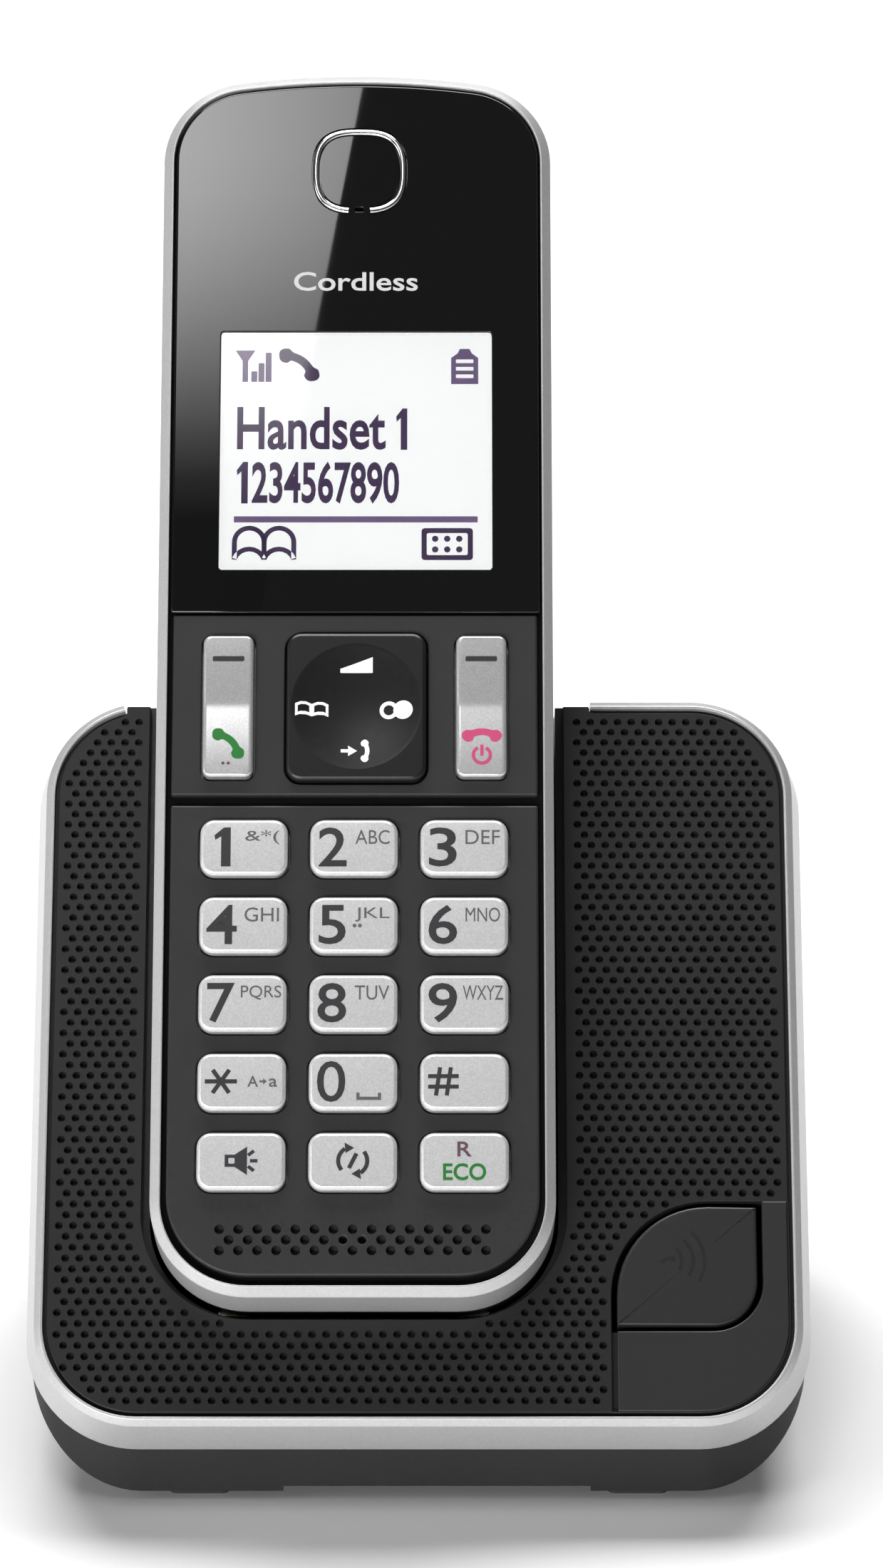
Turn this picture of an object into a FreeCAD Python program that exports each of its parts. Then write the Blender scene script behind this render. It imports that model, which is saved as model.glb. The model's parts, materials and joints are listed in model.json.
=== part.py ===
"""Cordless telephone handset standing in its charging base.

Millimetres. +X is to the right, +Y to the back and +Z up; the front of the phone faces -Y.
The origin is the middle of the whole object's footprint on the table.

Two tilted frames carry the shapes. In both, x runs across, y runs up the slope and z stands out of it:
the panel frame lies on the base's sloping face, the handset frame lies on the handset's face.
"""
import FreeCAD, Part
import math
import os

from FreeCAD import Placement, Rotation, Vector

# ---- driving dimensions -------------------------------------------------------------------------
PANEL_SLOPE = 44.5        # base face above the table, degrees
HANDSET_SLOPE = 48.5      # handset face above the table, degrees
PANEL_FRONT_Z = 13.2      # height of the base face's front edge
HANDSET_X = -7.9          # the handset stands left of the middle of the base
HANDSET_UP_PANEL = 14.92  # lower end of the handset's face, up the panel
HANDSET_PROUD = 9.6       # and how far it stands out of the panel there

# handset
HS_HALF = 24.5            # half width over the silver frame
HS_TOP = 157.0            # top of the silver frame
HS_BOTTOM = -1.3          # its lower end
HS_CROWN_R = 111.0        # the top edge is a shallow arc
HS_TOP_R = 11.0           # top corners
HS_BOTTOM_R = 11.8        # bottom corners
HS_THICK = 27.5           # face to back
HS_BACK_R = 8.0           # rounding along the back
FRAME_DEPTH = 9.7         # silver band from the face backwards
BEVEL_WIDE = 1.3          # bevel round the face, seen from the front
BEVEL_DEEP = 1.0
WALL = 1.5                # moulded case walls
FACE_DEPTH = 1.6          # front case plate
FACE_SKIRT = 4.2          # locating wall round its edge
FACE_SKIRT_WALL = 1.3
FACE_STEP = 0.25          # keypad face below the glossy lens
LENS_BOTTOM = 84.6        # lower edge of the glossy lens
LENS_THICK = 1.2
DISPLAY = (-17.0, 17.0, 90.4, 121.9)
GROOVE = (-22.3, 22.3, 59.96, 61.24)
GROOVE_DEEP = 0.8

# keys
KEY_SIZE = (10.7, 7.1)
KEY_PITCH = (13.47, 9.82)
KEY_ROW_1 = 54.33         # middle of the top key row
KEY_R = 1.75
KEY_PROUD = 0.8
KEY_TRAVEL = 0.6          # the domes start this far below the keys' feet
KEY_GAP = 0.25            # slot round every key
FLANGE = 0.6              # lip that keeps a key in the case
FLANGE_TOP = -2.0
FLANGE_THICK = 0.9
ROCKER_X = 15.6
ROCKER_SIZE = (6.2, 18.2)
ROCKER_Y = 72.45
ROCKER_R = 1.0
NAV_SIZE = (17.2, 19.0)
NAV_R = 1.8
NAV_Y = 72.4
NAV_DISH_R = 7.6          # round hollow in the navigator key
NAV_DISH_DEEP = 0.9
NAV_LIP_TOP = -2.45       # its lip lies lower, because it tilts both ways
PIVOT_Z = -3.0            # height of the rocking axes
PIN_R = 0.6               # trunnions that the rockers turn on
PIN_REACH = 4.7           # out from the rocker's middle
LUG = (3.9, 4.9, 1.3, -4.3)   # bearing lug: inner and outer face, half width, lower end
ROCKER_FOOT_Y = 6.2       # feet under a rocker, each side of its middle
RING_MID = (0.3, 143.6)   # receiver ring
RING_HALF = (5.95, 5.8)
RING_STROKE = 0.85
MIC_MID_Y = 5.6

# insides of the handset
BOARD_Z = -9.2
BOARD_THICK = 1.0
MAT_THICK = 1.2           # rubber key mat
DOME_HIGH = 1.1           # its domes
CELL_R = 5.25             # AAA cell
CELL_LENGTH = 44.5
BAY = (-12.6, 12.6, 27.0, 80.0)   # battery bay, inside
COVER = (-16.0, 16.0, 8.0, 93.0)  # sliding battery cover
COVER_THICK = 1.4

# base
PANEL_HALF = 45.55        # the dotted panel
PANEL_LENGTH = (1.25, 92.6)
PANEL_R = 11.5
PANEL_THICK = 2.0
SKIRT_WALL = 1.4
RIM_BEVEL = 1.15          # polished bevel round the panel
RIM_BEVEL_DEEP = 0.5
RIM_FLARE = 1.3           # the skirt leans out as it goes down
RIM_DEEP = 7.0            # bottom of the skirt under the panel
RIM_PROUD = 0.25
RIM_OPEN = (-36.95, 21.5) # the rim is open behind the handset
CRADLE_GAP = 0.5          # handset to liner
CRADLE_WALL = 2.4
CRADLE_LIP = 1.4          # handset to the edge of the channel at the panel
CRADLE_LIP_LOW = 0.9      # the same at the handset's lower end
EAR_TOP = 93.1            # the panel's ears stand just behind the rim, beside the channel
EAR_LOW = 80.0
CASE_INSET = 0.7          # dark lower case behind the rim's skirt
CASE_WALL = 2.0
CASE_BOTTOM = 1.3
BILGE_R = 14.0            # the case's sides turn under to the floor like a boat's
BILGE_X = 33.6            # half width of the level floor between the turns
SCREW_SEAT = 4.2          # screw heads this far above the case's bottom
FOOT_X = 26.8
FOOT_SIZE = (7.4, 7.0)
FRONT_FOOT_Y = 9.6
REAR_FOOT_Y = 65.0
BUTTON = (24.1, 41.2, 12.55, 27.5)
BUTTON_BIG_R = 11.2       # leaf outline: one large corner, the opposite one smaller
BUTTON_SMALL_R = 5.6
BUTTON_GAP = 0.7
BUTTON_LIP = 1.15
BUTTON_TRAVEL = 0.8
SURROUND_EDGE = 11.1      # plain trim below and beside the button
SURROUND_INSET = 0.6
CONTACT_X = 14.0          # charging contacts, either side of the handset's middle
CONTACT_Z = -15.0
JACK_X = 20.0             # sockets on the back wall
LINE_JACK = (12.0, 14.0, 10.6)
POWER_JACK = (9.0, 12.0, 10.8)
MAIN_BOARD_Z = 7.0
SCREW_X = 39.6
SCREW_YS = (28.0, 58.0)
FAR = 200.0

PARTS = {}


# ---- frames and outlines ------------------------------------------------------------------------
def to_panel(shape):
    """Carry a shape from the panel frame to the table frame."""
    shape = shape.copy()
    shape.Placement = Placement(Vector(0, 0, PANEL_FRONT_Z), Rotation(Vector(1, 0, 0), PANEL_SLOPE))
    return shape


def panel_point(x, y, z):
    """A point of the panel frame, in the table frame."""
    turn = Rotation(Vector(1, 0, 0), PANEL_SLOPE)
    return turn.multVec(Vector(x, y, z)) + Vector(0, 0, PANEL_FRONT_Z)


def to_handset(shape):
    """Carry a shape from the handset frame to the table frame."""
    shape = shape.copy()
    corner = panel_point(HANDSET_X, HANDSET_UP_PANEL, HANDSET_PROUD)
    shape.Placement = Placement(corner, Rotation(Vector(1, 0, 0), HANDSET_SLOPE))
    return shape


def box(x0, x1, y0, y1, z0, z1):
    """A box between two corners."""
    return Part.makeBox(x1 - x0, y1 - y0, z1 - z0, Vector(x0, y0, z0))


def rod(radius, x, y, z0, z1):
    """An upright cylinder."""
    return Part.makeCylinder(radius, z1 - z0, Vector(x, y, z0))


def outline(corners, z=0.0):
    """Closed wire through corners (x, y, radius), each rounded by its own radius; anticlockwise."""
    count = len(corners)
    starts = []
    edges = []
    for i in range(count):
        here = Vector(corners[i][0], corners[i][1], z)
        before = Vector(corners[i - 1][0], corners[i - 1][1], z)
        after = Vector(corners[(i + 1) % count][0], corners[(i + 1) % count][1], z)
        radius = corners[i][2]
        back = (before - here).normalize()
        on = (after - here).normalize()
        half_angle = back.getAngle(on) / 2
        if radius <= 0:
            starts.append((here, here))
            continue
        reach = radius / math.tan(half_angle)
        first = here + back * reach
        last = here + on * reach
        middle_way = (back + on).normalize()
        centre = here + middle_way * (radius / math.sin(half_angle))
        starts.append((first, last))
        edges.append((i, Part.Arc(first, centre - middle_way * radius, last).toShape()))
    arcs = dict(edges)
    loop = []
    for i in range(count):
        if i in arcs:
            loop.append(arcs[i])
        leave = starts[i][1]
        arrive = starts[(i + 1) % count][0]
        if leave.distanceToPoint(arrive) > 1e-6:
            loop.append(Part.LineSegment(leave, arrive).toShape())
    return Part.Wire(loop)


def rounded(x0, x1, y0, y1, r, z=0.0):
    """Rectangle with one radius on all four corners."""
    return outline([(x0, y0, r), (x1, y0, r), (x1, y1, r), (x0, y1, r)], z)


def prism(wire, depth):
    """Solid from a flat wire, drawn along +z (or -z when depth is negative)."""
    return Part.Face(wire).extrude(Vector(0, 0, depth))


def plate(x0, x1, y0, y1, r, z0, z1):
    """Flat plate with rounded corners."""
    return prism(rounded(x0, x1, y0, y1, r, z0), z1 - z0)


def loft(low, high):
    """Straight-sided solid between two like wires."""
    return Part.makeLoft([low, high], True, True)


def join(shapes):
    """One solid out of touching shapes."""
    whole = shapes[0].fuse(shapes[1:]) if len(shapes) > 1 else shapes[0]
    return whole.removeSplitter()


def cut(shape, tools):
    """Take the tools away from the shape."""
    return shape.cut(tools if isinstance(tools, list) else [tools])


def group(shapes):
    """Several separate solids in one node."""
    return Part.makeCompound(shapes)


# ---- handset outlines ---------------------------------------------------------------------------
def handset_outline(inset, z):
    """Outline of the handset, moved inwards: straight sides, crowned top, four round corners."""
    half = HS_HALF - inset
    low = HS_BOTTOM + inset
    low_r = HS_BOTTOM_R - inset
    top_r = HS_TOP_R - inset
    crown_r = HS_CROWN_R - inset
    crown_mid = HS_TOP - HS_CROWN_R
    corner_x = half - top_r
    corner_y = crown_mid + math.sqrt((crown_r - top_r) ** 2 - corner_x ** 2)
    scale = crown_r / (crown_r - top_r)
    join_x = corner_x * scale
    join_y = crown_mid + (corner_y - crown_mid) * scale
    lean = math.atan2(corner_x, corner_y - crown_mid)
    mid_lean = (math.pi / 2 + lean) / 2
    arc_x = corner_x + top_r * math.sin(mid_lean)
    arc_y = corner_y + top_r * math.cos(mid_lean)
    low_mid = low_r * (1 - math.sqrt(0.5))
    stops = [(-half + low_r, low), (half - low_r, low), (half, low + low_r), (half, corner_y),
             (join_x, join_y), (-join_x, join_y), (-half, corner_y), (-half, low + low_r)]
    middles = {1: (half - low_mid, low + low_mid), 3: (arc_x, arc_y), 4: (0, crown_mid + crown_r),
               5: (-arc_x, arc_y), 7: (-half + low_mid, low + low_mid)}
    edges = []
    for i, (x, y) in enumerate(stops):
        start = Vector(x, y, z)
        end = Vector(*stops[(i + 1) % len(stops)], z)
        if i in middles:
            edges.append(Part.Arc(start, Vector(*middles[i], z), end).toShape())
        else:
            edges.append(Part.LineSegment(start, end).toShape())
    return Part.Wire(edges)


def back_rounded(solid, z, radius):
    """Round all the edges of a solid that lie in the plane at height z."""
    edges = [e for e in solid.Edges if abs(e.BoundBox.ZMin - z) < 1e-4 and abs(e.BoundBox.ZMax - z) < 1e-4]
    return solid.makeFillet(radius, edges)


def dock_room(gap, high):
    """The space that the handset takes in the cradle, grown by a gap and open at the top."""
    half = HS_HALF + gap
    low = HS_BOTTOM - gap
    back = -HS_THICK - gap
    radius = HS_BOTTOM_R + gap
    wire = outline([(-half, low, radius), (half, low, radius), (half, FAR, 0), (-half, FAR, 0)], back)
    body = prism(wire, high - back)
    edges = []
    for edge in body.Edges:
        level = abs(edge.BoundBox.ZMin - back) < 1e-4 and abs(edge.BoundBox.ZMax - back) < 1e-4
        if level and edge.BoundBox.YMin < FAR - 1:
            edges.append(edge)
    return body.makeFillet(HS_BACK_R + gap, edges)


def key_places():
    """Name and middle of each of the fifteen keys, row by row from the top."""
    names = ["key_1", "key_2", "key_3", "key_4", "key_5", "key_6", "key_7", "key_8", "key_9",
             "key_star", "key_0", "key_hash", "key_speaker", "key_redial", "key_recall"]
    places = []
    for i, name in enumerate(names):
        column = i % 3 - 1
        row = i // 3
        places.append((name, column * KEY_PITCH[0], KEY_ROW_1 - row * KEY_PITCH[1]))
    return places


def key_box(x, y, size, grow):
    """The four sides of a key's rectangle, grown all round."""
    return (x - size[0] / 2 - grow, x + size[0] / 2 + grow, y - size[1] / 2 - grow, y + size[1] / 2 + grow)


def capped_key(x, y, size, r, proud):
    """A key: crowned cap through the face, and a lip behind the face that keeps it in."""
    cap = plate(*key_box(x, y, size, 0), r, FLANGE_TOP - FLANGE_THICK, proud - 0.35)
    crown = loft(rounded(*key_box(x, y, size, 0), r, proud - 0.35),
                 rounded(*key_box(x, y, size, -0.45), r - 0.45, proud))
    lip = plate(*key_box(x, y, size, FLANGE), r + 0.4, FLANGE_TOP - FLANGE_THICK, FLANGE_TOP)
    return join([cap, crown, lip])


def dome_top():
    """Height of the tops of the rubber domes."""
    return BOARD_Z + 0.05 + MAT_THICK + DOME_HIGH


def key_foot(x, y, clear):
    """Foot that reaches down from a key to just above its dome."""
    return rod(1.6, x, y, dome_top() + clear, FLANGE_TOP - FLANGE_THICK)


def press_key(x, y):
    """One of the fifteen push keys."""
    return join([capped_key(x, y, KEY_SIZE, KEY_R, KEY_PROUD), key_foot(x, y, KEY_TRAVEL + 0.1)])


# ---- handset shells -----------------------------------------------------------------------------
def silver_frame():
    """Band round the handset's edge, with a bevel towards the face."""
    band = prism(handset_outline(0, -FRAME_DEPTH), FRAME_DEPTH - BEVEL_DEEP)
    bevel = loft(handset_outline(0, -BEVEL_DEEP), handset_outline(BEVEL_WIDE - 0.2, 0))
    hollow = prism(handset_outline(BEVEL_WIDE, -FRAME_DEPTH - 1), FRAME_DEPTH + 2)
    return cut(join([band, bevel]), hollow)


def front_case():
    """Dark plate with the holes for the keys, the lens seat, a locating wall and the rockers' bearings."""
    inset = BEVEL_WIDE + 0.05
    body = prism(handset_outline(inset, -FACE_SKIRT), FACE_SKIRT - FACE_STEP)
    inside = prism(handset_outline(inset + FACE_SKIRT_WALL, -FRAME_DEPTH), FRAME_DEPTH - FACE_DEPTH)
    seat = box(-FAR, FAR, LENS_BOTTOM - 0.05, FAR, -LENS_THICK - 0.05, 1)
    window = plate(DISPLAY[0] - 0.8, DISPLAY[1] + 0.8, DISPLAY[2] - 0.8, DISPLAY[3] + 0.8, 0.5, -6, 1)
    groove = box(GROOVE[0], GROOVE[1], GROOVE[2], GROOVE[3], -FACE_STEP - GROOVE_DEEP, 1)
    holes = [plate(*key_box(x, y, KEY_SIZE, KEY_GAP), KEY_R + KEY_GAP, -5, 1) for _, x, y in key_places()]
    for x in (-ROCKER_X, ROCKER_X):
        holes.append(plate(*key_box(x, ROCKER_Y, ROCKER_SIZE, KEY_GAP), ROCKER_R + KEY_GAP, -5, 1))
    holes.append(plate(*key_box(0.2, NAV_Y, NAV_SIZE, KEY_GAP), NAV_R + KEY_GAP, -5, 1))
    for x in (-1.15, 1.15):
        holes.append(rod(0.45, x, MIC_MID_Y, -5, 1))
    holes.append(box(-0.5, 1.0, RING_MID[1] - RING_HALF[1] - 0.1, RING_MID[1] - RING_HALF[1] + 0.9, -5, 1))
    return join([cut(body, [inside, seat, window, groove] + holes)] + bearing_lugs())


def bearing_lugs():
    """Lugs under the face, two for each rocker, that hold its trunnions."""
    near, far, half, low = LUG
    lugs = []
    for middle in (-ROCKER_X, ROCKER_X):
        for x in (middle - far, middle + near):
            lug = box(x, x + far - near, ROCKER_Y - half, ROCKER_Y + half, low, -FACE_DEPTH + 0.1)
            bore = Part.makeCylinder(PIN_R + 0.08, far, Vector(x - 1, ROCKER_Y, PIVOT_Z), Vector(1, 0, 0))
            lugs.append(cut(lug, bore))
    return lugs


def back_case():
    """Rounded shell of the handset's back, with the battery bay and a recess for its sliding cover."""
    top = -FRAME_DEPTH - 0.05
    outer = back_rounded(prism(handset_outline(0.2, -HS_THICK), HS_THICK + top), -HS_THICK, HS_BACK_R)
    inner_back = -HS_THICK + 3.2
    hollow = prism(handset_outline(0.2 + WALL, inner_back), -inner_back)
    inner = back_rounded(hollow, inner_back, HS_BACK_R - 2)
    shell = cut(outer, inner)
    bay_top = BOARD_Z - BOARD_THICK - 0.9
    tub = box(BAY[0] - 1.2, BAY[1] + 1.2, BAY[2] - 1.2, BAY[3] + 1.2, inner_back - 0.5, bay_top)
    bay = box(BAY[0], BAY[1], BAY[2], BAY[3], -HS_THICK - 1, bay_top - 1.2)
    bosses = [rod(2.6, x, y, inner_back - 0.5, bay_top) for x, y in handset_screw_places()]
    recess = box(COVER[0] - 0.15, COVER[1] + 0.15, HS_BOTTOM - 5, COVER[3] + 0.15,
                 -HS_THICK - 1, -HS_THICK + COVER_THICK + 0.15)
    holes = [bay, recess]
    for x, y in handset_screw_places():
        holes.append(rod(1.15, x, y, -HS_THICK - 1, bay_top - 1))
        holes.append(rod(2.2, x, y, -HS_THICK - 1, -HS_THICK + COVER_THICK + 1.45))
    for x in (-CONTACT_X, CONTACT_X):
        holes.append(contact_box(x, 2.6, HS_BOTTOM - 1, HS_BOTTOM + 0.75))
    for i in range(5):
        holes.append(plate(-6.0, 6.0, 118 + i * 3.0, 119.2 + i * 3.0, 0.55, -HS_THICK - 1, inner_back + 1))
    return cut(join([shell, tub] + bosses), holes)


def contact_box(x, half, y0, y1):
    """A box round one of the handset's charging plates."""
    return box(x - half, x + half, y0, y1, CONTACT_Z - half + 0.7, CONTACT_Z + half - 0.7)


def handset_screw_places():
    """The two screws under the battery cover, above the bay."""
    return [(-11.0, 86.5), (11.0, 86.5)]


def battery_cover():
    """Flat sliding cover over the battery bay, with a thumb hollow and ribs for grip."""
    low = -HS_THICK
    body = plate(COVER[0], COVER[1], COVER[2], COVER[3], 2.0, low, low + COVER_THICK)
    edges = []
    for edge in body.Edges:
        if abs(edge.BoundBox.ZMax - low) < 1e-4:
            edges.append(edge)
    body = body.makeFillet(0.8, edges)
    ribs = []
    for i in range(6):
        ribs.append(plate(-6.5, 6.5, 78 + i * 1.9, 78.9 + i * 1.9, 0.4, low - 1, low + 0.45))
    return cut(body, ribs)


def lens_panel():
    """Glossy plate over the top of the face, with the display opening and the sound slot."""
    body = prism(handset_outline(BEVEL_WIDE + 0.05, -LENS_THICK), LENS_THICK)
    keep = box(-FAR, FAR, LENS_BOTTOM, FAR, -5, 5)
    window = plate(*DISPLAY, 0.4, -5, 5)
    ring = ring_shape(0.04, -0.6, 1)
    slot = box(-0.3, 0.8, RING_MID[1] - RING_HALF[1] + 0.1, RING_MID[1] - RING_HALF[1] + 0.75, -5, 1)
    return cut(body.common(keep), [window, ring, slot])


def ring_shape(grow, z0, z1):
    """Squarish ring with rounded sides and a break at the bottom."""
    x, y = RING_MID
    wide, tall = RING_HALF
    outer = plate(x - wide - grow, x + wide + grow, y - tall - grow, y + tall + grow, 4.4 + grow, z0, z1)
    inner_x = wide - RING_STROKE - grow
    inner_y = tall - RING_STROKE - grow
    inner = plate(x - inner_x, x + inner_x, y - inner_y, y + inner_y, 3.6 - grow, z0 - 1, z1 + 1)
    gap = box(x - 0.75 + grow, x + 0.75 - grow, y - tall - 1, y, z0 - 1, z1 + 1)
    return cut(outer, [inner, gap])


def receiver_ring():
    """Bright ring let into the lens round the earpiece."""
    return ring_shape(0, -0.55, 0.15)


def display_window():
    """Clear plate that fills the display opening."""
    x0, x1, y0, y1 = DISPLAY
    return plate(x0 + 0.05, x1 - 0.05, y0 + 0.05, y1 - 0.05, 0.35, -1.1, -0.25)


# ---- handset insides ----------------------------------------------------------------------------
def lcd_module():
    """Display glass in its tray."""
    tray = box(-17.6, 17.6, 89.9, 122.6, -5.0, -2.6)
    glass = box(-16.8, 16.8, 90.6, 121.8, -2.6, -1.3)
    return join([tray, glass])


def light_guide():
    """Backlight plate behind the display."""
    return plate(-17.4, 17.4, 90.0, 122.4, 0.5, BOARD_Z + 0.1, -5.1)


def handset_board():
    """Circuit board behind the keys and display, notched for the screw pillars."""
    body = plate(-20.6, 20.6, 9.0, 138.0, 3.0, BOARD_Z - BOARD_THICK, BOARD_Z)
    chips = [box(-8, 4, 100, 112, BOARD_Z - BOARD_THICK - 1.4, BOARD_Z - BOARD_THICK),
             box(8, 16, 96, 104, BOARD_Z - BOARD_THICK - 1.2, BOARD_Z - BOARD_THICK)]
    return join([body] + chips)


def key_mat():
    """Rubber mat with a dome under every key, lying on the board."""
    z0 = BOARD_Z + 0.05
    top = z0 + MAT_THICK
    sheet = plate(-20.0, 20.0, 10.0, 83.5, 1.5, z0, top)
    domes = []
    for _, x, y in key_places():
        domes.append(Part.makeCone(3.0, 2.1, DOME_HIGH, Vector(x, y, top)))
    for x in (-ROCKER_X, ROCKER_X):
        for y in (-ROCKER_FOOT_Y, ROCKER_FOOT_Y):
            domes.append(Part.makeCone(2.4, 1.7, DOME_HIGH, Vector(x, ROCKER_Y + y, top)))
    hole = rod(3.2, 0.2, NAV_Y, z0 - 1, z0 + 3)
    return cut(join([sheet] + domes), hole)


def round_unit(x, y, radius, z0, z1):
    """Round sound unit with a step in its basket."""
    middle = (z0 + z1) / 2
    return join([rod(radius, x, y, middle, z1), rod(radius * 0.78, x, y, z0, middle)])


def battery_cells():
    """Two AAA cells side by side, each with its raised positive end."""
    cells = []
    for side in (-1, 1):
        x = side * (CELL_R + 0.45)
        start = BAY[2] + 3.5
        end = Vector(x, start, -HS_THICK + 8.3)
        body = Part.makeCylinder(CELL_R, CELL_LENGTH - 0.8, end, Vector(0, 1, 0))
        tip_y = start + CELL_LENGTH - 0.8 if side < 0 else start - 0.8
        tip = Part.makeCylinder(1.9, 0.8, Vector(x, tip_y, -HS_THICK + 8.3), Vector(0, 1, 0))
        cells.append(join([body, tip]))
    return group(cells)


def battery_terminals():
    """Flat plates and coil springs at the ends of the battery bay."""
    z = -HS_THICK + 8.3
    low = BAY[2] + 0.05
    high = BAY[3] - 0.05
    thick = 0.5
    x = CELL_R + 0.45
    cell_end = BAY[2] + 3.5 + CELL_LENGTH - 0.8
    top_plate = box(-11.5, 11.5, high - thick, high, z - 4, z + 4)
    left_plate = box(-11.5, -0.9, low, low + thick, z - 4, z + 4)
    right_plate = box(0.9, 11.5, low, low + thick, z - 4, z + 4)
    lower = join([left_plate, hollow_spring(-x, z, low + thick, BAY[2] + 3.45)])
    upper = join([top_plate, hollow_spring(x, z, cell_end + 0.05, high - thick)])
    return group([lower, right_plate, upper])


def hollow_spring(x, z, start, end):
    """A closely wound contact spring, as the sleeve that it fills."""
    sleeve = Part.makeCylinder(3.0, end - start, Vector(x, start, z), Vector(0, 1, 0))
    return cut(sleeve, Part.makeCylinder(2.2, end - start, Vector(x, start, z), Vector(0, 1, 0)))


def handset_contacts():
    """Charging plates let into the handset's lower end."""
    plates = []
    for x in (-CONTACT_X, CONTACT_X):
        plates.append(contact_box(x, 2.5, HS_BOTTOM + 0.22, HS_BOTTOM + 0.7))
    return group(plates)


def handset_screws():
    """Two screws that hold the back case, one each side above the battery bay."""
    screws = []
    for x, y in handset_screw_places():
        head_top = -HS_THICK + COVER_THICK + 1.4
        head = rod(2.1, x, y, -HS_THICK + COVER_THICK + 0.25, head_top)
        cross = box(x - 1.2, x + 1.2, y - 0.25, y + 0.25, head_top - 2, head_top - 0.6)
        shank = rod(1.1, x, y, head_top, head_top + 8.5)
        screws.append(cut(join([head, shank]), cross))
    return group(screws)


def handset_antenna():
    """Bent strip aerial above the board."""
    z = BOARD_Z - BOARD_THICK - 0.05
    strip = box(-16, 16, 133.5, 135.5, z - 5, z - 4.4)
    legs = [box(-16, -15.4, 133.5, 135.5, z - 5, z), box(4, 4.6, 133.5, 135.5, z - 5, z)]
    return join([strip] + legs)


# ---- keys ---------------------------------------------------------------------------------------
def rocker_key(x):
    """Long key that rocks about its middle on two trunnions, with a foot over each of its domes."""
    cap = capped_key(x, ROCKER_Y, ROCKER_SIZE, ROCKER_R, KEY_PROUD)
    feet = [key_foot(x, ROCKER_Y + side * ROCKER_FOOT_Y, 0.4) for side in (-1, 1)]
    pin = Part.makeCylinder(PIN_R, 2 * PIN_REACH, Vector(x - PIN_REACH, ROCKER_Y, PIVOT_Z), Vector(1, 0, 0))
    return join([cap, pin] + feet)


def navigator_key():
    """Square four-way key with a round hollow; it rocks on the post below it."""
    x = 0.2
    cap = plate(*key_box(x, NAV_Y, NAV_SIZE, 0), NAV_R, FLANGE_TOP - FLANGE_THICK, 0.25)
    crown = loft(rounded(*key_box(x, NAV_Y, NAV_SIZE, 0), NAV_R, 0.25),
                 rounded(*key_box(x, NAV_Y, NAV_SIZE, -0.5), NAV_R - 0.5, KEY_PROUD))
    lip = plate(*key_box(x, NAV_Y, NAV_SIZE, FLANGE), NAV_R + 0.4, NAV_LIP_TOP - FLANGE_THICK, NAV_LIP_TOP)
    under = plate(*key_box(x, NAV_Y, NAV_SIZE, -1.5), NAV_R, -HS_THICK, FLANGE_TOP - FLANGE_THICK)
    ball_r = (NAV_DISH_R ** 2 + NAV_DISH_DEEP ** 2) / (2 * NAV_DISH_DEEP)
    dish = Part.makeSphere(ball_r, Vector(x, NAV_Y, KEY_PROUD - NAV_DISH_DEEP + ball_r))
    socket = Part.makeSphere(1.9, Vector(x, NAV_Y, PIVOT_Z))
    return cut(join([cap, crown, cut(lip, under)]), [dish, socket])


def navigator_carrier():
    """Ring under the four-way key that carries it on the post."""
    middle = (0.2, NAV_Y)
    hole = rod(2.3, *middle, PIVOT_Z - 2, PIVOT_Z + 1)
    return cut(rod(5.0, *middle, PIVOT_Z - 1.3, PIVOT_Z - 0.35), hole)


def navigator_post():
    """Small round-headed post that the four-way key rocks on, standing on the board."""
    foot = rod(2.8, 0.2, NAV_Y, BOARD_Z + 0.1, BOARD_Z + 1.4)
    stem = rod(1.2, 0.2, NAV_Y, BOARD_Z + 1.4, PIVOT_Z)
    head = Part.makeSphere(1.8, Vector(0.2, NAV_Y, PIVOT_Z))
    return join([foot, stem, head])


# ---- base ---------------------------------------------------------------------------------------
def panel_outline(grow, z):
    """Outline of the base's face, grown all round, in the panel frame."""
    half = PANEL_HALF + grow
    return rounded(-half, half, PANEL_LENGTH[0] - grow, PANEL_LENGTH[1] + grow, PANEL_R + grow, z)


def channel_outline(side_gap, low_gap, z):
    """U-shaped outline of the handset's channel where it meets the panel, open towards the back."""
    half = HS_HALF + side_gap
    lean = math.radians(HANDSET_SLOPE - PANEL_SLOPE)
    low = HANDSET_UP_PANEL + HS_BOTTOM * math.cos(lean) + HANDSET_PROUD * math.tan(lean) - low_gap
    radius = HS_BOTTOM_R + side_gap
    left = HANDSET_X - half
    right = HANDSET_X + half
    return outline([(left, low, radius), (right, low, radius), (right, FAR, 0), (left, FAR, 0)], z)


def base_rim():
    """Polished C-shaped rim: a bevel round the panel and a skirt that leans outwards below it."""
    wide = RIM_BEVEL
    skirt = loft(panel_outline(wide + RIM_FLARE, -RIM_DEEP), panel_outline(wide, -RIM_BEVEL_DEEP))
    bevel = loft(panel_outline(wide, -RIM_BEVEL_DEEP), panel_outline(0.2, RIM_PROUD))
    hole = prism(panel_outline(0.06, -RIM_DEEP - 1), RIM_DEEP + 3)
    opening = box(RIM_OPEN[0], RIM_OPEN[1], PANEL_LENGTH[1] - PANEL_R, FAR, -20, 20)
    return to_panel(cut(join([skirt, bevel]), [hole, opening]))


def dock_cutter(gap):
    """Everything that the handset's room takes out of the base, in the table frame."""
    return to_handset(dock_room(gap, 40))


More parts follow.
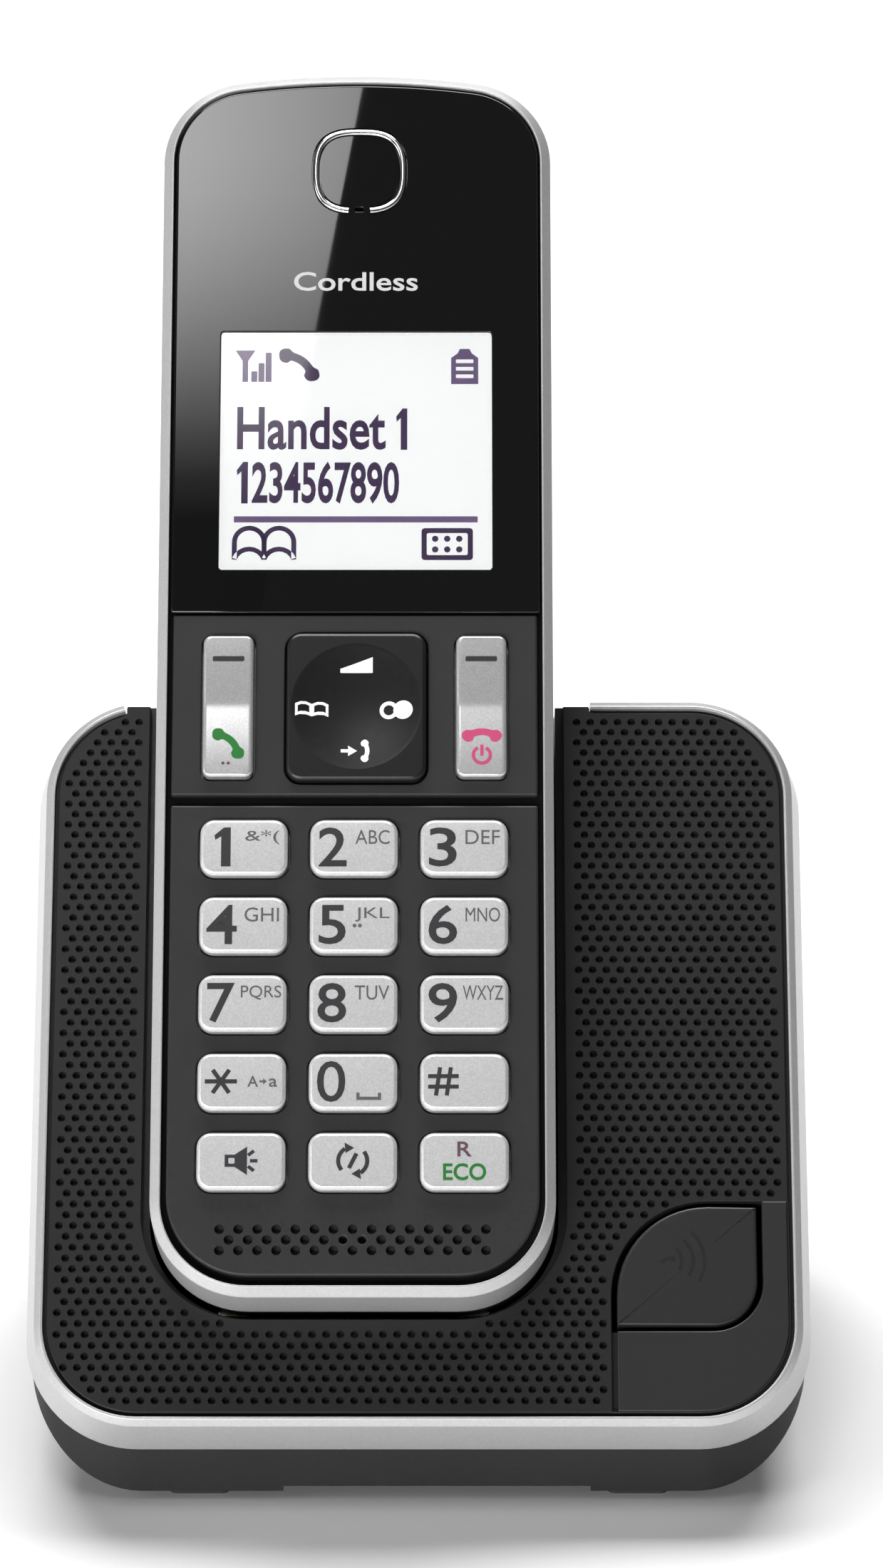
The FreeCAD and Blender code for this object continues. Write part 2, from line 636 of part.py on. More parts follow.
def top_panel():
    """Dark face of the base, with the channel for the handset, the button hole and four pillars."""
    face = prism(panel_outline(0, -PANEL_THICK), PANEL_THICK)
    inside = prism(panel_outline(-SKIRT_WALL, -RIM_DEEP - 1), RIM_DEEP + 2)
    skirt = cut(prism(panel_outline(0, -RIM_DEEP), RIM_DEEP), inside)
    left = RIM_OPEN[0] + 0.1
    right = RIM_OPEN[1] - 0.1
    liner_half = HS_HALF + CRADLE_WALL + 0.6
    lip_half = HS_HALF + CRADLE_LIP
    ears = [box(left, HANDSET_X - liner_half, EAR_LOW, EAR_TOP, -RIM_DEEP, 0),
            box(HANDSET_X + liner_half, right, EAR_LOW, EAR_TOP, -RIM_DEEP, 0),
            box(left, HANDSET_X - lip_half, EAR_LOW, EAR_TOP, -PANEL_THICK, 0),
            box(HANDSET_X + lip_half, right, EAR_LOW, EAR_TOP, -PANEL_THICK, 0)]
    body = join([face, skirt] + ears)
    channel = prism(channel_outline(CRADLE_LIP, CRADLE_LIP_LOW, -RIM_DEEP - 1), RIM_DEEP + 3)
    button_hole = prism(button_outline(BUTTON_GAP, -RIM_DEEP), RIM_DEEP + 2)
    recess = cut(prism(surround_outline(0.05, -0.8), 3), leaf_corner())
    under = dock_cutter(CRADLE_WALL + 0.55).common(to_panel(box(-FAR, FAR, -FAR, FAR, -FAR, -PANEL_THICK)))
    body = cut(to_panel(cut(body, [channel, button_hole, recess])), under)
    pillars = [pillar(x, y) for x, y in base_screw_places()]
    holes = [rod(1.0, x, y, 6, 24) for x, y in base_screw_places()]
    return cut(join([body] + pillars), holes)


def pillar(x, y):
    """Screw pillar that hangs from the panel to just above the case's boss."""
    slope = math.tan(math.radians(PANEL_SLOPE))
    top = PANEL_FRONT_Z + y * slope - 1.5
    raw = rod(2.6, x, y, 12.15, top + 6)
    limit = to_panel(box(-FAR, FAR, -FAR, FAR, -FAR, -1.0))
    return raw.common(limit)


def base_screw_places():
    """Screws of the base, from above, in the table frame."""
    return [(x, y) for x in (-SCREW_X, SCREW_X) for y in SCREW_YS]


def button_outline(grow, z):
    """Leaf outline of the page button: a large and a smaller round corner, opposite each other."""
    x0, x1, y0, y1 = BUTTON
    return outline([(x0 - grow, y0 - grow, 0), (x1 + grow, y0 - grow, BUTTON_SMALL_R + grow),
                    (x1 + grow, y1 + grow, 0), (x0 - grow, y1 + grow, BUTTON_BIG_R + grow)], z)


def surround_outline(grow, z):
    """Corner of the panel round the button, out to the rim."""
    half = PANEL_HALF - SURROUND_INSET + grow
    low = PANEL_LENGTH[0] + SURROUND_INSET - grow
    left = BUTTON[0] - grow
    top = BUTTON[3] + BUTTON_GAP + grow
    radius = PANEL_R - SURROUND_INSET + grow
    return outline([(left, low, 0), (half, low, radius), (half, top, 0), (left, top, 0)], z)


def leaf_corner():
    """What the trim leaves to the dotted face: the side of the button with the large round corner."""
    return box(BUTTON[0] - 3, BUTTON[1] - 3, SURROUND_EDGE + 2, FAR, -3, 3)


def button_surround():
    """Plain L-shaped trim below and right of the page button."""
    body = prism(surround_outline(0, -0.75), 0.85)
    hole = prism(button_outline(BUTTON_GAP, -3), 6)
    return to_panel(cut(body, [hole, leaf_corner()]))


def page_button():
    """Leaf-shaped button with a lip behind the panel and a stem on the switch."""
    cap = prism(button_outline(0, -PANEL_THICK - 1.4), PANEL_THICK + 1.4 + 0.05)
    crown = loft(button_outline(0, 0.05), button_outline(-0.35, 0.35))
    lip = prism(button_outline(BUTTON_LIP, -PANEL_THICK - 1.4), 1.2)
    rim_clear = cut(prism(panel_outline(40, -9), 12), prism(panel_outline(-1.7, -10), 14))
    stem = rod(1.6, 32.5, 19.5, -PANEL_THICK - 3.0, -PANEL_THICK - 1.4)
    return to_panel(cut(join([cap, crown, lip, stem]), rim_clear))


def page_switch():
    """Push switch on a small board under the page button."""
    board = box(26.5, 38.5, 14.5, 24.5, -10.4, -9.2)
    switch = box(29.5, 35.5, 16.5, 22.5, -9.2, -6.7)
    plunger = rod(1.7, 32.5, 19.5, -6.7, -PANEL_THICK - 3.0 - BUTTON_TRAVEL - 0.1)
    return to_panel(join([board, switch, plunger]))


def cradle_liner():
    """Black channel under the panel that the handset stands in, with two slots for the contacts."""
    outer = dock_cutter(CRADLE_WALL + 0.5)
    slots = []
    for x in (-CONTACT_X, CONTACT_X):
        slots.append(box(x - 1.5, x + 1.5, HS_BOTTOM - 6, HS_BOTTOM + 2, CONTACT_Z - 1.2, CONTACT_Z + 1.2))
    body = cut(outer, [dock_cutter(CRADLE_GAP)] + [to_handset(slot) for slot in slots])
    below_panel = to_panel(box(-FAR, FAR, -FAR, EAR_TOP + 0.5, -FAR, -PANEL_THICK - 0.05))
    before_back = box(-FAR, FAR, -FAR, back_wall_y(), -FAR, FAR)
    return body.common(below_panel).common(before_back)


def back_wall_y():
    """Outer face of the base's back wall."""
    top = PANEL_LENGTH[1] + RIM_BEVEL + RIM_FLARE - CASE_INSET
    return panel_point(0, top, -RIM_DEEP).y


def case_solid(inset, low):
    """The lower case's outer shape: the rim's skirt line carried straight down to a level floor."""
    wire = panel_outline(RIM_BEVEL + RIM_FLARE - CASE_INSET - inset, -RIM_DEEP - 0.05)
    face = to_panel(Part.Face(wire))
    body = face.extrude(Vector(0, 0, -FAR))
    return body.common(box(-FAR, FAR, -FAR, FAR, low, FAR))


def hull(inset):
    """Cross-section of the case carried along Y: a level floor that turns up at each side by a large radius."""
    radius = BILGE_R - inset
    middle = CASE_BOTTOM + BILGE_R
    half = BILGE_X + radius
    turn = radius * math.sqrt(0.5)
    stops = [(-half, FAR), (-half, middle), (-BILGE_X, middle - radius),
             (BILGE_X, middle - radius), (half, middle), (half, FAR)]
    bends = {1: -BILGE_X - turn, 3: BILGE_X + turn}
    edges = []
    for i, (x, z) in enumerate(stops):
        start = Vector(x, -FAR, z)
        end_x, end_z = stops[(i + 1) % len(stops)]
        end = Vector(end_x, -FAR, end_z)
        if i in bends:
            edges.append(Part.Arc(start, Vector(bends[i], -FAR, middle - turn), end).toShape())
        else:
            edges.append(Part.LineSegment(start, end).toShape())
    return Part.Face(Part.Wire(edges)).extrude(Vector(0, 2 * FAR, 0))


def lower_case():
    """Dark wedge-shaped shell under the rim, with a level floor, bosses and openings for the sockets."""
    outside = case_solid(0, CASE_BOTTOM).common(hull(0))
    shell = cut(outside, case_solid(CASE_WALL, CASE_BOTTOM).common(hull(CASE_WALL)))
    bosses = [rod(3.0, x, y, CASE_BOTTOM + 0.5, 12.0) for x, y in base_screw_places()]
    posts = [rod(2.0, x, y, CASE_BOTTOM + 0.5, MAIN_BOARD_Z - 0.05) for x, y in board_post_places()]
    body = join([shell] + bosses + posts).common(hull(0))
    cutters = [dock_cutter(CRADLE_WALL + 0.55)]
    for x, y in base_screw_places():
        cutters.append(rod(1.4, x, y, 0, 13))
        cutters.append(rod(2.8, x, y, 0, CASE_BOTTOM + SCREW_SEAT))
    back = back_wall_y()
    line_w, _, line_h = LINE_JACK
    cutters.append(box(-JACK_X - line_w / 2 - 0.1, -JACK_X + line_w / 2 + 0.1, back - 5, back + 5,
                       MAIN_BOARD_Z + 1.5, MAIN_BOARD_Z + 1.6 + line_h + 0.1))
    power_w, _, power_h = POWER_JACK
    cutters.append(box(JACK_X - power_w / 2 - 0.1, JACK_X + power_w / 2 + 0.1, back - 5, back + 5,
                       MAIN_BOARD_Z + 1.5, MAIN_BOARD_Z + 1.6 + power_h + 0.1))
    front_lift = plate(-16.5, 21.0, -10, 12, 1.0, 0, CASE_BOTTOM + 0.7)
    cutters.append(front_lift)
    for x, y in foot_places():
        cutters.append(plate(*foot_box(x, y, 0.05), 1.0, 0, CASE_BOTTOM + 0.6))
    return cut(body, cutters)


def foot_places():
    """Middles of the four feet, from above."""
    return [(x, y) for x in (-FOOT_X, FOOT_X) for y in (FRONT_FOOT_Y, REAR_FOOT_Y)]


def foot_box(x, y, grow):
    """Sides of a foot, from above."""
    wide = FOOT_SIZE[0] / 2 + grow
    deep = FOOT_SIZE[1] / 2 + grow
    return (x - wide, x + wide, y - deep, y + deep)


def base_feet():
    """Four rubber feet let into the floor of the case."""
    return group([plate(*foot_box(x, y, 0), 0.95, 0, CASE_BOTTOM + 0.55) for x, y in foot_places()])


def base_screws():
    """Four screws up through the floor into the panel's pillars."""
    screws = []
    for x, y in base_screw_places():
        seat = CASE_BOTTOM + SCREW_SEAT - 0.05
        head = rod(2.6, x, y, seat - 1.65, seat)
        shank = rod(0.98, x, y, seat, 21)
        cross = box(x - 1.6, x + 1.6, y - 0.3, y + 0.3, 0, seat - 0.95)
        screws.append(cut(join([head, shank]), cross))
    return group(screws)


def board_post_places():
    """Posts that carry the main board."""
    return [(-33.0, 44.0), (33.0, 44.0), (-8.0, 44.0)]


def main_board():
    """Circuit board of the base, level, behind and below the channel."""
    back = back_wall_y() - CASE_WALL - 0.6
    body = box(-36.0, 36.0, 41.0, back, MAIN_BOARD_Z, MAIN_BOARD_Z + 1.5)
    chips = [box(-6, 6, 50, 60, MAIN_BOARD_Z + 1.5, MAIN_BOARD_Z + 3.0),
             box(-34, -29, 55, 63, MAIN_BOARD_Z + 1.5, MAIN_BOARD_Z + 7.0),
             rod(3.0, 9.5, 62.5, MAIN_BOARD_Z + 1.5, MAIN_BOARD_Z + 9.0)]
    return join([body] + chips)


def line_jack():
    """Telephone line socket: a box with a stepped mouth at the back."""
    wide, deep, high = LINE_JACK
    back = back_wall_y()
    z0 = MAIN_BOARD_Z + 1.6
    body = box(-JACK_X - wide / 2, -JACK_X + wide / 2, back - deep, back, z0, z0 + high)
    mouth = box(-JACK_X - 4.9, -JACK_X + 4.9, back - 10.5, back + 1, z0 + 2.3, z0 + 8.9)
    latch = box(-JACK_X - 3.1, -JACK_X + 3.1, back - 9.0, back + 1, z0 + 1.1, z0 + 2.4)
    return cut(body, [mouth, latch])


def power_jack():
    """Round power socket with its centre pin."""
    wide, deep, high = POWER_JACK
    back = back_wall_y()
    z0 = MAIN_BOARD_Z + 1.6
    middle = Vector(JACK_X, back - 9.0, z0 + high / 2)
    body = box(JACK_X - wide / 2, JACK_X + wide / 2, back - deep, back, z0, z0 + high)
    bore = Part.makeCylinder(2.85, 20, middle, Vector(0, 1, 0))
    pin = Part.makeCylinder(0.85, 8.0, middle - Vector(0, 1, 0), Vector(0, 1, 0))
    return join([cut(body, bore), pin])


def base_antenna():
    """Strip aerial standing on the main board."""
    z0 = MAIN_BOARD_Z + 1.55
    mast = box(30.0, 30.6, 50, 53, z0, z0 + 24)
    arm = box(30.0, 30.6, 50, 64, z0 + 21, z0 + 24)
    return join([mast, arm])


def charge_contact(x):
    """Sprung contact: a rounded nose through the liner's end wall and a shoulder behind it."""
    nose_top = HS_BOTTOM + 0.22 - 0.08
    nose_low = HS_BOTTOM - CRADLE_WALL - 3.4
    nose = box(x - 1.2, x + 1.2, nose_low, nose_top - 0.6, CONTACT_Z - 0.8, CONTACT_Z + 0.8)
    tip = Part.makeCylinder(0.8, 2.4, Vector(x - 1.2, nose_top - 0.8, CONTACT_Z), Vector(1, 0, 0))
    shoulder_y = HS_BOTTOM - CRADLE_WALL - 0.5 - 0.15
    shoulder = box(x - 2.4, x + 2.4, shoulder_y - 0.8, shoulder_y, CONTACT_Z - 1.7, CONTACT_Z + 1.7)
    return join([nose, tip, shoulder])


# ---- assembly -----------------------------------------------------------------------------------
def build():
    """Make every piece and put it in its place."""
    PARTS["base_lower_case"] = lower_case()
    PARTS["base_rim"] = base_rim()
    PARTS["base_top_panel"] = top_panel()
    PARTS["cradle_liner"] = cradle_liner()
    PARTS["button_surround"] = button_surround()
    PARTS["page_button"] = page_button()
    PARTS["page_switch"] = page_switch()
    PARTS["base_main_board"] = main_board()
    PARTS["line_jack"] = line_jack()
    PARTS["power_jack"] = power_jack()
    PARTS["base_antenna"] = base_antenna()
    PARTS["base_feet"] = base_feet()
    PARTS["base_screws"] = base_screws()
    handset = {
        "charge_contact_left": charge_contact(-CONTACT_X),
        "charge_contact_right": charge_contact(CONTACT_X),
        "handset_silver_frame": silver_frame(),
        "handset_front_case": front_case(),
        "handset_back_case": back_case(),
        "battery_cover": battery_cover(),
        "lens_panel": lens_panel(),
        "receiver_ring": receiver_ring(),
        "display_window": display_window(),
        "lcd_module": lcd_module(),
        "display_light_guide": light_guide(),
        "handset_board": handset_board(),
        "key_mat": key_mat(),
        "earpiece_speaker": round_unit(0.3, 143.6, 6.6, -7.2, -LENS_THICK - 0.55),
        "microphone": round_unit(0.0, MIC_MID_Y, 2.2, -5.2, -FACE_DEPTH - 0.1),
        "ringer_speaker": round_unit(0.0, 124.6, 9.5, -HS_THICK + 3.3, -17.0),
        "battery_cells": battery_cells(),
        "battery_terminals": battery_terminals(),
        "handset_contacts": handset_contacts(),
        "handset_screws": handset_screws(),
        "handset_antenna": handset_antenna(),
        "rocker_key_left": rocker_key(-ROCKER_X),
        "rocker_key_right": rocker_key(ROCKER_X),
        "navigator_post": navigator_post(),
        "navigator_carrier": navigator_carrier(),
        "navigator_key": navigator_key(),
    }
    for name, x, y in key_places():
        handset[name] = press_key(x, y)
    for name, shape in handset.items():
        PARTS[name] = to_handset(shape)


def centred():
    """Move everything so that the origin is under the middle of the whole object."""
    whole = Part.makeCompound(list(PARTS.values())).optimalBoundingBox(False)
    step = Vector(-(whole.XMin + whole.XMax) / 2, -(whole.YMin + whole.YMax) / 2, 0)
    print("origin moved by", step.x, step.y, "lowest", whole.ZMin)
    for shape in PARTS.values():
        shape.translate(step)


build()
centred()
os.makedirs("parts", exist_ok=True)
for name, shape in PARTS.items():
    print(name, "valid" if shape.isValid() else "INVALID", len(shape.Solids), round(shape.Volume, 1))
    shape.exportStep(f"parts/{name}.step")
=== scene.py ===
import json
import math

import bmesh
import bpy
import numpy as np
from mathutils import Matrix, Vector
from mathutils.geometry import delaunay_2d_cdt


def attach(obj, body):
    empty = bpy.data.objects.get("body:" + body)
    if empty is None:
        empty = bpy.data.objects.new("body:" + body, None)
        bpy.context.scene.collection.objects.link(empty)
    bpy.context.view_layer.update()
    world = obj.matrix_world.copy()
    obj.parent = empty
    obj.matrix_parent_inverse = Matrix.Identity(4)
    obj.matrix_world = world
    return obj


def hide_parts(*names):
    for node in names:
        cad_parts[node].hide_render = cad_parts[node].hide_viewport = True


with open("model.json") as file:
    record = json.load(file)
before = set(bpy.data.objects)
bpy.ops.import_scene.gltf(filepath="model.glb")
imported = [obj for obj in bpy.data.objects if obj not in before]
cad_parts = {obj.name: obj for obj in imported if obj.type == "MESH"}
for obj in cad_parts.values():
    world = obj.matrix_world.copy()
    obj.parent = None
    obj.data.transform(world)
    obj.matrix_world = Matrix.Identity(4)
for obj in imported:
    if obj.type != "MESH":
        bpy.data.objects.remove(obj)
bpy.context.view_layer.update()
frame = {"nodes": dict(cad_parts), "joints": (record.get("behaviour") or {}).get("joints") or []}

NODES = frame["nodes"]
MM = 0.001


# ---- The table and the studio --------------------------------------------------------------------
# A plain white table that reaches far past the phone, one wide soft lamp hung above and behind, a low
# one in front and a small one on the left. None of this belongs to the phone.
TABLE_HALF = 4.0
PHONE_MIDDLE = (0, 0, 0.06)
table_mesh = bpy.data.meshes.new("table_top")
table_mesh.from_pydata([(-TABLE_HALF, -TABLE_HALF, 0), (TABLE_HALF, -TABLE_HALF, 0),
                        (TABLE_HALF, TABLE_HALF, 0), (-TABLE_HALF, TABLE_HALF, 0)], [], [(0, 1, 2, 3)])
table_top = bpy.data.objects.new("table_top", table_mesh)
bpy.context.scene.collection.objects.link(table_top)
table_white = bpy.data.materials.new("table_white")
table_white.use_nodes = True
table_shader = table_white.node_tree.nodes["Principled BSDF"]
table_shader.inputs["Base Color"].default_value = (0.86, 0.86, 0.86, 1)
table_shader.inputs["Roughness"].default_value = 0.7
table_shader.inputs["Specular IOR Level"].default_value = 0.1
table_mesh.materials.append(table_white)


def soft_lamp(name, place, wide, tall, power):
    """A rectangular lamp that points at the middle of the phone."""
    data = bpy.data.lights.new(name, "AREA")
    data.shape = "RECTANGLE"
    data.size = wide
    data.size_y = tall
    data.energy = power
    lamp = bpy.data.objects.new(name, data)
    lamp.location = place
    aim = Vector(PHONE_MIDDLE) - Vector(place)
    lamp.rotation_euler = aim.to_track_quat("-Z", "Y").to_euler()
    bpy.context.scene.collection.objects.link(lamp)


soft_lamp("lamp_above", (-0.03, 0.78, 1.42), 1.5, 0.8, 42)
soft_lamp("lamp_left", (-1.2, -0.35, 0.42), 0.5, 0.6, 3)
soft_lamp("lamp_front", (-0.6, -1.5, 0.17), 1.1, 0.26, 25)

world = bpy.data.worlds.new("studio")
world.use_nodes = True
world.node_tree.nodes["Background"].inputs["Color"].default_value = (1, 1, 1, 1)
world.node_tree.nodes["Background"].inputs["Strength"].default_value = 0.08
bpy.context.scene.world = world
bpy.context.scene.view_settings.view_transform = "Standard"

CAMERA_PLACE = Vector((0.002789, -0.670287, 0.381858))
CAMERA_DOWN = 25.0
camera_data = bpy.data.cameras.new("camera")
camera_data.sensor_width = 36
camera_data.lens = 134.69
camera_data.clip_start = 0.05
camera_data.clip_end = 20
camera = bpy.data.objects.new("camera", camera_data)
camera.location = CAMERA_PLACE
camera.rotation_euler = (math.radians(90 - CAMERA_DOWN), 0, 0)
bpy.context.scene.collection.objects.link(camera)
bpy.context.scene.camera = camera


# ---- The handset's silver band -------------------------------------------------------------------
# A moulded ABS band round the whole edge of the handset, painted silver, with a flat bevel that
# turns in to the face. It is one ring: the profile below is carried once round the outline.
lift_axis = frame["joints"][0]["axis"]    # the handset slides out along its own length
HANDSET_SLOPE = math.degrees(math.atan2(lift_axis[2], lift_axis[1]))
BAND_LOW = -1.3           # lower end of the band, below the face's own lower end
BAND_HALF = 24.5
BAND_TOP = 157.0
BAND_DEEP = 9.7
BAND_INNER = 1.3
BEVEL_DEEP = 1.0
CROWN_R = 111.0
TOP_CORNER_R = 11.0
LOW_CORNER_R = 11.8


def node_points(name):
    """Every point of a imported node, as an array."""
    mesh = NODES[name].data
    points = np.empty(len(mesh.vertices) * 3)
    mesh.vertices.foreach_get("co", points)
    return points.reshape(-1, 3)


def tilted_frame(node, slope, low_y, high_z):
    """Turns points given along a slope, in millimetres, into the row frame.

    X stays, Y is turned up and Z is turned back by the slope. The origin is found from a node whose
    lowest point up the slope is low_y and whose highest point out of it is high_z.
    """
    angle = math.radians(slope)
    up = np.array([0, math.cos(angle), math.sin(angle)])
    out = np.array([0, -math.sin(angle), math.cos(angle)])
    points = node_points(node)
    middle = (points[:, 0].min() + points[:, 0].max()) / 2
    origin = (np.array([middle, 0, 0]) + up * ((points @ up).min() - low_y * MM)
              + out * ((points @ out).max() - high_z * MM))

    def placed(local):
        local = np.asarray(local, float) * MM
        across = np.array([1.0, 0, 0])
        return origin + local[:, :1] * across + local[:, 1:2] * up + local[:, 2:3] * out

    return placed


on_handset = tilted_frame("handset_silver_frame", HANDSET_SLOPE, BAND_LOW, 0.0)


def arc(x, y, radius, start, end, count=13):
    """Points along an arc, its angles in degrees from +X."""
    turn = np.radians(np.linspace(start, end, count))
    return np.stack([x + radius * np.cos(turn), y + radius * np.sin(turn)], 1)


def rounded(corners, count=9):
    """Closed anticlockwise loop through corners (x, y, radius): each is an arc that touches both sides."""
    spots = np.array([corner[:2] for corner in corners], float)
    runs = []
    for i, (_, _, radius) in enumerate(corners):
        back = spots[i - 1] - spots[i]
        on = spots[(i + 1) % len(spots)] - spots[i]
        back /= np.linalg.norm(back)
        on /= np.linalg.norm(on)
        if radius == 0:
            runs.append(spots[i][None])
            continue
        half = np.arccos(np.clip(back @ on, -1, 1)) / 2
        inward = (back + on) / np.linalg.norm(back + on)
        centre = spots[i] + inward * radius / math.sin(half)
        first = spots[i] + back * radius / math.tan(half) - centre
        last = spots[i] + on * radius / math.tan(half) - centre
        start = math.degrees(math.atan2(first[1], first[0]))
        sweep = (math.degrees(math.atan2(last[1], last[0])) - start + 180) % 360 - 180
        runs.append(arc(*centre, radius, start, start + sweep, count))
    return tidy_loop(np.concatenate(runs))


def tidy_loop(loop):
    """The loop without points that fall on the one before."""
    apart = np.linalg.norm(loop - np.roll(loop, 1, 0), axis=1) > 1e-5
    return loop[apart]


def braced(loop, reach):
    """The loop with two more points on each long straight run, near its ends, so that it shades flat."""
    after = np.roll(loop, -1, 0)
    run = after - loop
    length = np.linalg.norm(run, axis=1)
    step = np.where(length > 4 * reach, reach / length, 0)[:, None]
    rows = np.stack([loop, loop + run * step, after - run * step], 1)
    keep = np.stack([np.ones(len(loop), bool), step[:, 0] > 0, step[:, 0] > 0], 1)
    return rows.reshape(-1, 2)[keep.ravel()]


def divided(loop, step):
    """The loop with points added, so that no side is longer than a step."""
    after = np.roll(loop, -1, 0)
    parts = np.ceil(np.linalg.norm(after - loop, axis=1) / step - 1e-9).astype(int)
    return np.concatenate([here + (there - here) * (np.arange(n) / n)[:, None]
                           for here, there, n in zip(loop, after, parts)])


def grown(loop, by):
    """The loop moved outwards: every side moves by the same distance, and its corners are mitred."""
    on = np.roll(loop, -1, 0) - loop
    on /= np.linalg.norm(on, axis=1)[:, None]
    side = np.stack([on[:, 1], -on[:, 0]], 1)
    both = side + np.roll(side, 1, 0)
    return loop + by * both * 2 / (both ** 2).sum(1)[:, None]


class Shell:
    """The points and faces of one piece, gathered from several surfaces."""

    def __init__(self):
        self.points = []
        self.faces = []
        self.flat = []
        self.count = 0

    def add(self, points, faces, flat=False):
        points = np.asarray(points, float)
        self.points.append(points)
        self.faces += [[self.count + i for i in face] for face in faces]
        self.flat += [flat] * len(faces)
        self.count += len(points)

    def add_rings(self, rings, closed=False):
        """Quads between rings of points; closed joins the last ring to the first."""
        rings = np.asarray(rings, float)
        rows, columns = rings.shape[:2]
        row = np.arange(rows if closed else rows - 1)[:, None]
        column = np.arange(columns)[None]
        here = row * columns
        above = (row + 1) % rows * columns
        right = (column + 1) % columns
        quads = np.stack([here + column, here + right, above + right, above + column], -1)
        self.add(rings.reshape(-1, 3), quads.reshape(-1, 4).tolist())

    def add_fill(self, outer, holes, z, up=True):
        """Flat triangles between an outer loop and the loops of its holes."""
        loops = [outer] + list(holes)
        points = np.concatenate(loops)
        ends = np.cumsum([0] + [len(loop) for loop in loops])
        bounds = [list(range(ends[i], ends[i + 1])) for i in range(len(loops))]
        made = delaunay_2d_cdt([Vector(p) for p in points], [], bounds, 1, 1e-6)
        faces = [list(face) for face, inside in zip(made[2], made[5]) if list(inside) == [0]]
        if not up:
            faces = [face[::-1] for face in faces]
        flat = np.array([tuple(p) for p in made[0]])
        self.add(np.column_stack([flat, np.full(len(flat), z)]), faces, flat=True)

    def add_fan(self, ring, middle, up=True):
        """Triangles from a ring of points to one point in its middle."""
        count = len(ring)
        faces = [[i, (i + 1) % count, count] for i in range(count)]
        if not up:
            faces = [face[::-1] for face in faces]
        self.add(np.vstack([ring, middle]), faces)


def at_height(loop, z):
    """A flat loop lifted to a height."""
    return np.column_stack([loop, np.full(len(loop), z)])


def carried(loop, profile):
    """A profile of (distance outwards, height) carried round a loop: one ring per point of the profile."""
    return np.stack([at_height(grown(loop, out), z) for out, z in profile])


WELD = 1e-6
CREASE = math.radians(38)


def make_piece(name, shell, placed, material, body, replaces=()):
    """One object of the shell's surfaces, welded, smooth but for creases and flat faces, riding on a body."""
    mesh = bpy.data.meshes.new(name)
    mesh.from_pydata(placed(np.concatenate(shell.points)).tolist(), [], shell.faces)
    mesh.polygons.foreach_set("use_smooth", [not flat for flat in shell.flat])
    welded = bmesh.new()
    welded.from_mesh(mesh)
    bmesh.ops.remove_doubles(welded, verts=welded.verts, dist=WELD)
    welded.to_mesh(mesh)
    welded.free()
    smooth = np.empty(len(mesh.polygons), bool)
    mesh.polygons.foreach_get("use_smooth", smooth)
    mesh.set_sharp_from_angle(angle=CREASE)
    mesh.polygons.foreach_set("use_smooth", smooth)
    mesh.materials.append(material)
    piece = bpy.data.objects.new(name, mesh)
    bpy.context.scene.collection.objects.link(piece)
    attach(piece, body)
    if replaces:
        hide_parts(*replaces)
    return piece


NOISE_SPAN = (0.3, 0.7)   # nearly all of a noise lies between these values


def finish(name, colour, roughness, metallic=0.0, coat=0.0, coat_roughness=0.05, specular=0.5,
           cloud=None, shades=None, flakes=None, grain=None):
    """A new surface finish: constant values sit on the shader, and four options vary them in space.

    cloud is (size, low, high) of the roughness; shades is (size, dark, light) of the colour; flakes is
    the same for a mosaic of small cells; grain is (size, height) of fine bumps. Sizes are millimetres.
    """
    material = bpy.data.materials.new(name)
    material.use_nodes = True
    nodes = material.node_tree.nodes
    links = material.node_tree.links
    shader = nodes["Principled BSDF"]
    for socket, value in (("Base Color", (*colour, 1)), ("Roughness", roughness), ("Metallic", metallic),
                          ("Coat Weight", coat), ("Coat Roughness", coat_roughness),
                          ("Specular IOR Level", specular)):
        shader.inputs[socket].default_value = value

    def texture(kind, size):
        """A pattern on the piece's own coordinates."""
        where = nodes.new("ShaderNodeTexCoord")
        pattern = nodes.new(kind)
        pattern.inputs["Scale"].default_value = 1 / (size * MM)
        links.new(where.outputs["Object"], pattern.inputs["Vector"])
        return pattern

    def noise(size, detail=2.0):
        """Cloudy noise."""
        cloudy = texture("ShaderNodeTexNoise", size)
        cloudy.inputs["Detail"].default_value = detail
        return cloudy.outputs["Fac"]

    def shade(value, *ends):
        """The base colour goes from a dark to a light end with a value."""
        ramp = nodes.new("ShaderNodeValToRGB")
        for stop, end, place in zip(ramp.color_ramp.elements, ends, NOISE_SPAN):
            stop.color = (*end, 1)
            stop.position = place
        links.new(value, ramp.inputs["Fac"])
        links.new(ramp.outputs["Color"], shader.inputs["Base Color"])

    if cloud:
        spread = nodes.new("ShaderNodeMapRange")
        for socket, value in zip(("From Min", "From Max", "To Min", "To Max"), NOISE_SPAN + cloud[1:]):
            spread.inputs[socket].default_value = value
        links.new(noise(cloud[0]), spread.inputs["Value"])
        links.new(spread.outputs["Result"], shader.inputs["Roughness"])
    if shades:
        size, dark, light, *detail = shades
        shade(noise(size, *detail), dark, light)
    if flakes:
        parts = nodes.new("ShaderNodeSeparateColor")
        links.new(texture("ShaderNodeTexVoronoi", flakes[0]).outputs["Color"], parts.inputs["Color"])
        shade(parts.outputs["Red"], *flakes[1:])
    if grain:
        bump = nodes.new("ShaderNodeBump")
        bump.inputs["Strength"].default_value = 1.0
        bump.inputs["Distance"].default_value = grain[1] * MM
        links.new(noise(grain[0], 3.0), bump.inputs["Height"])
        links.new(bump.outputs["Normal"], shader.inputs["Normal"])
    return material


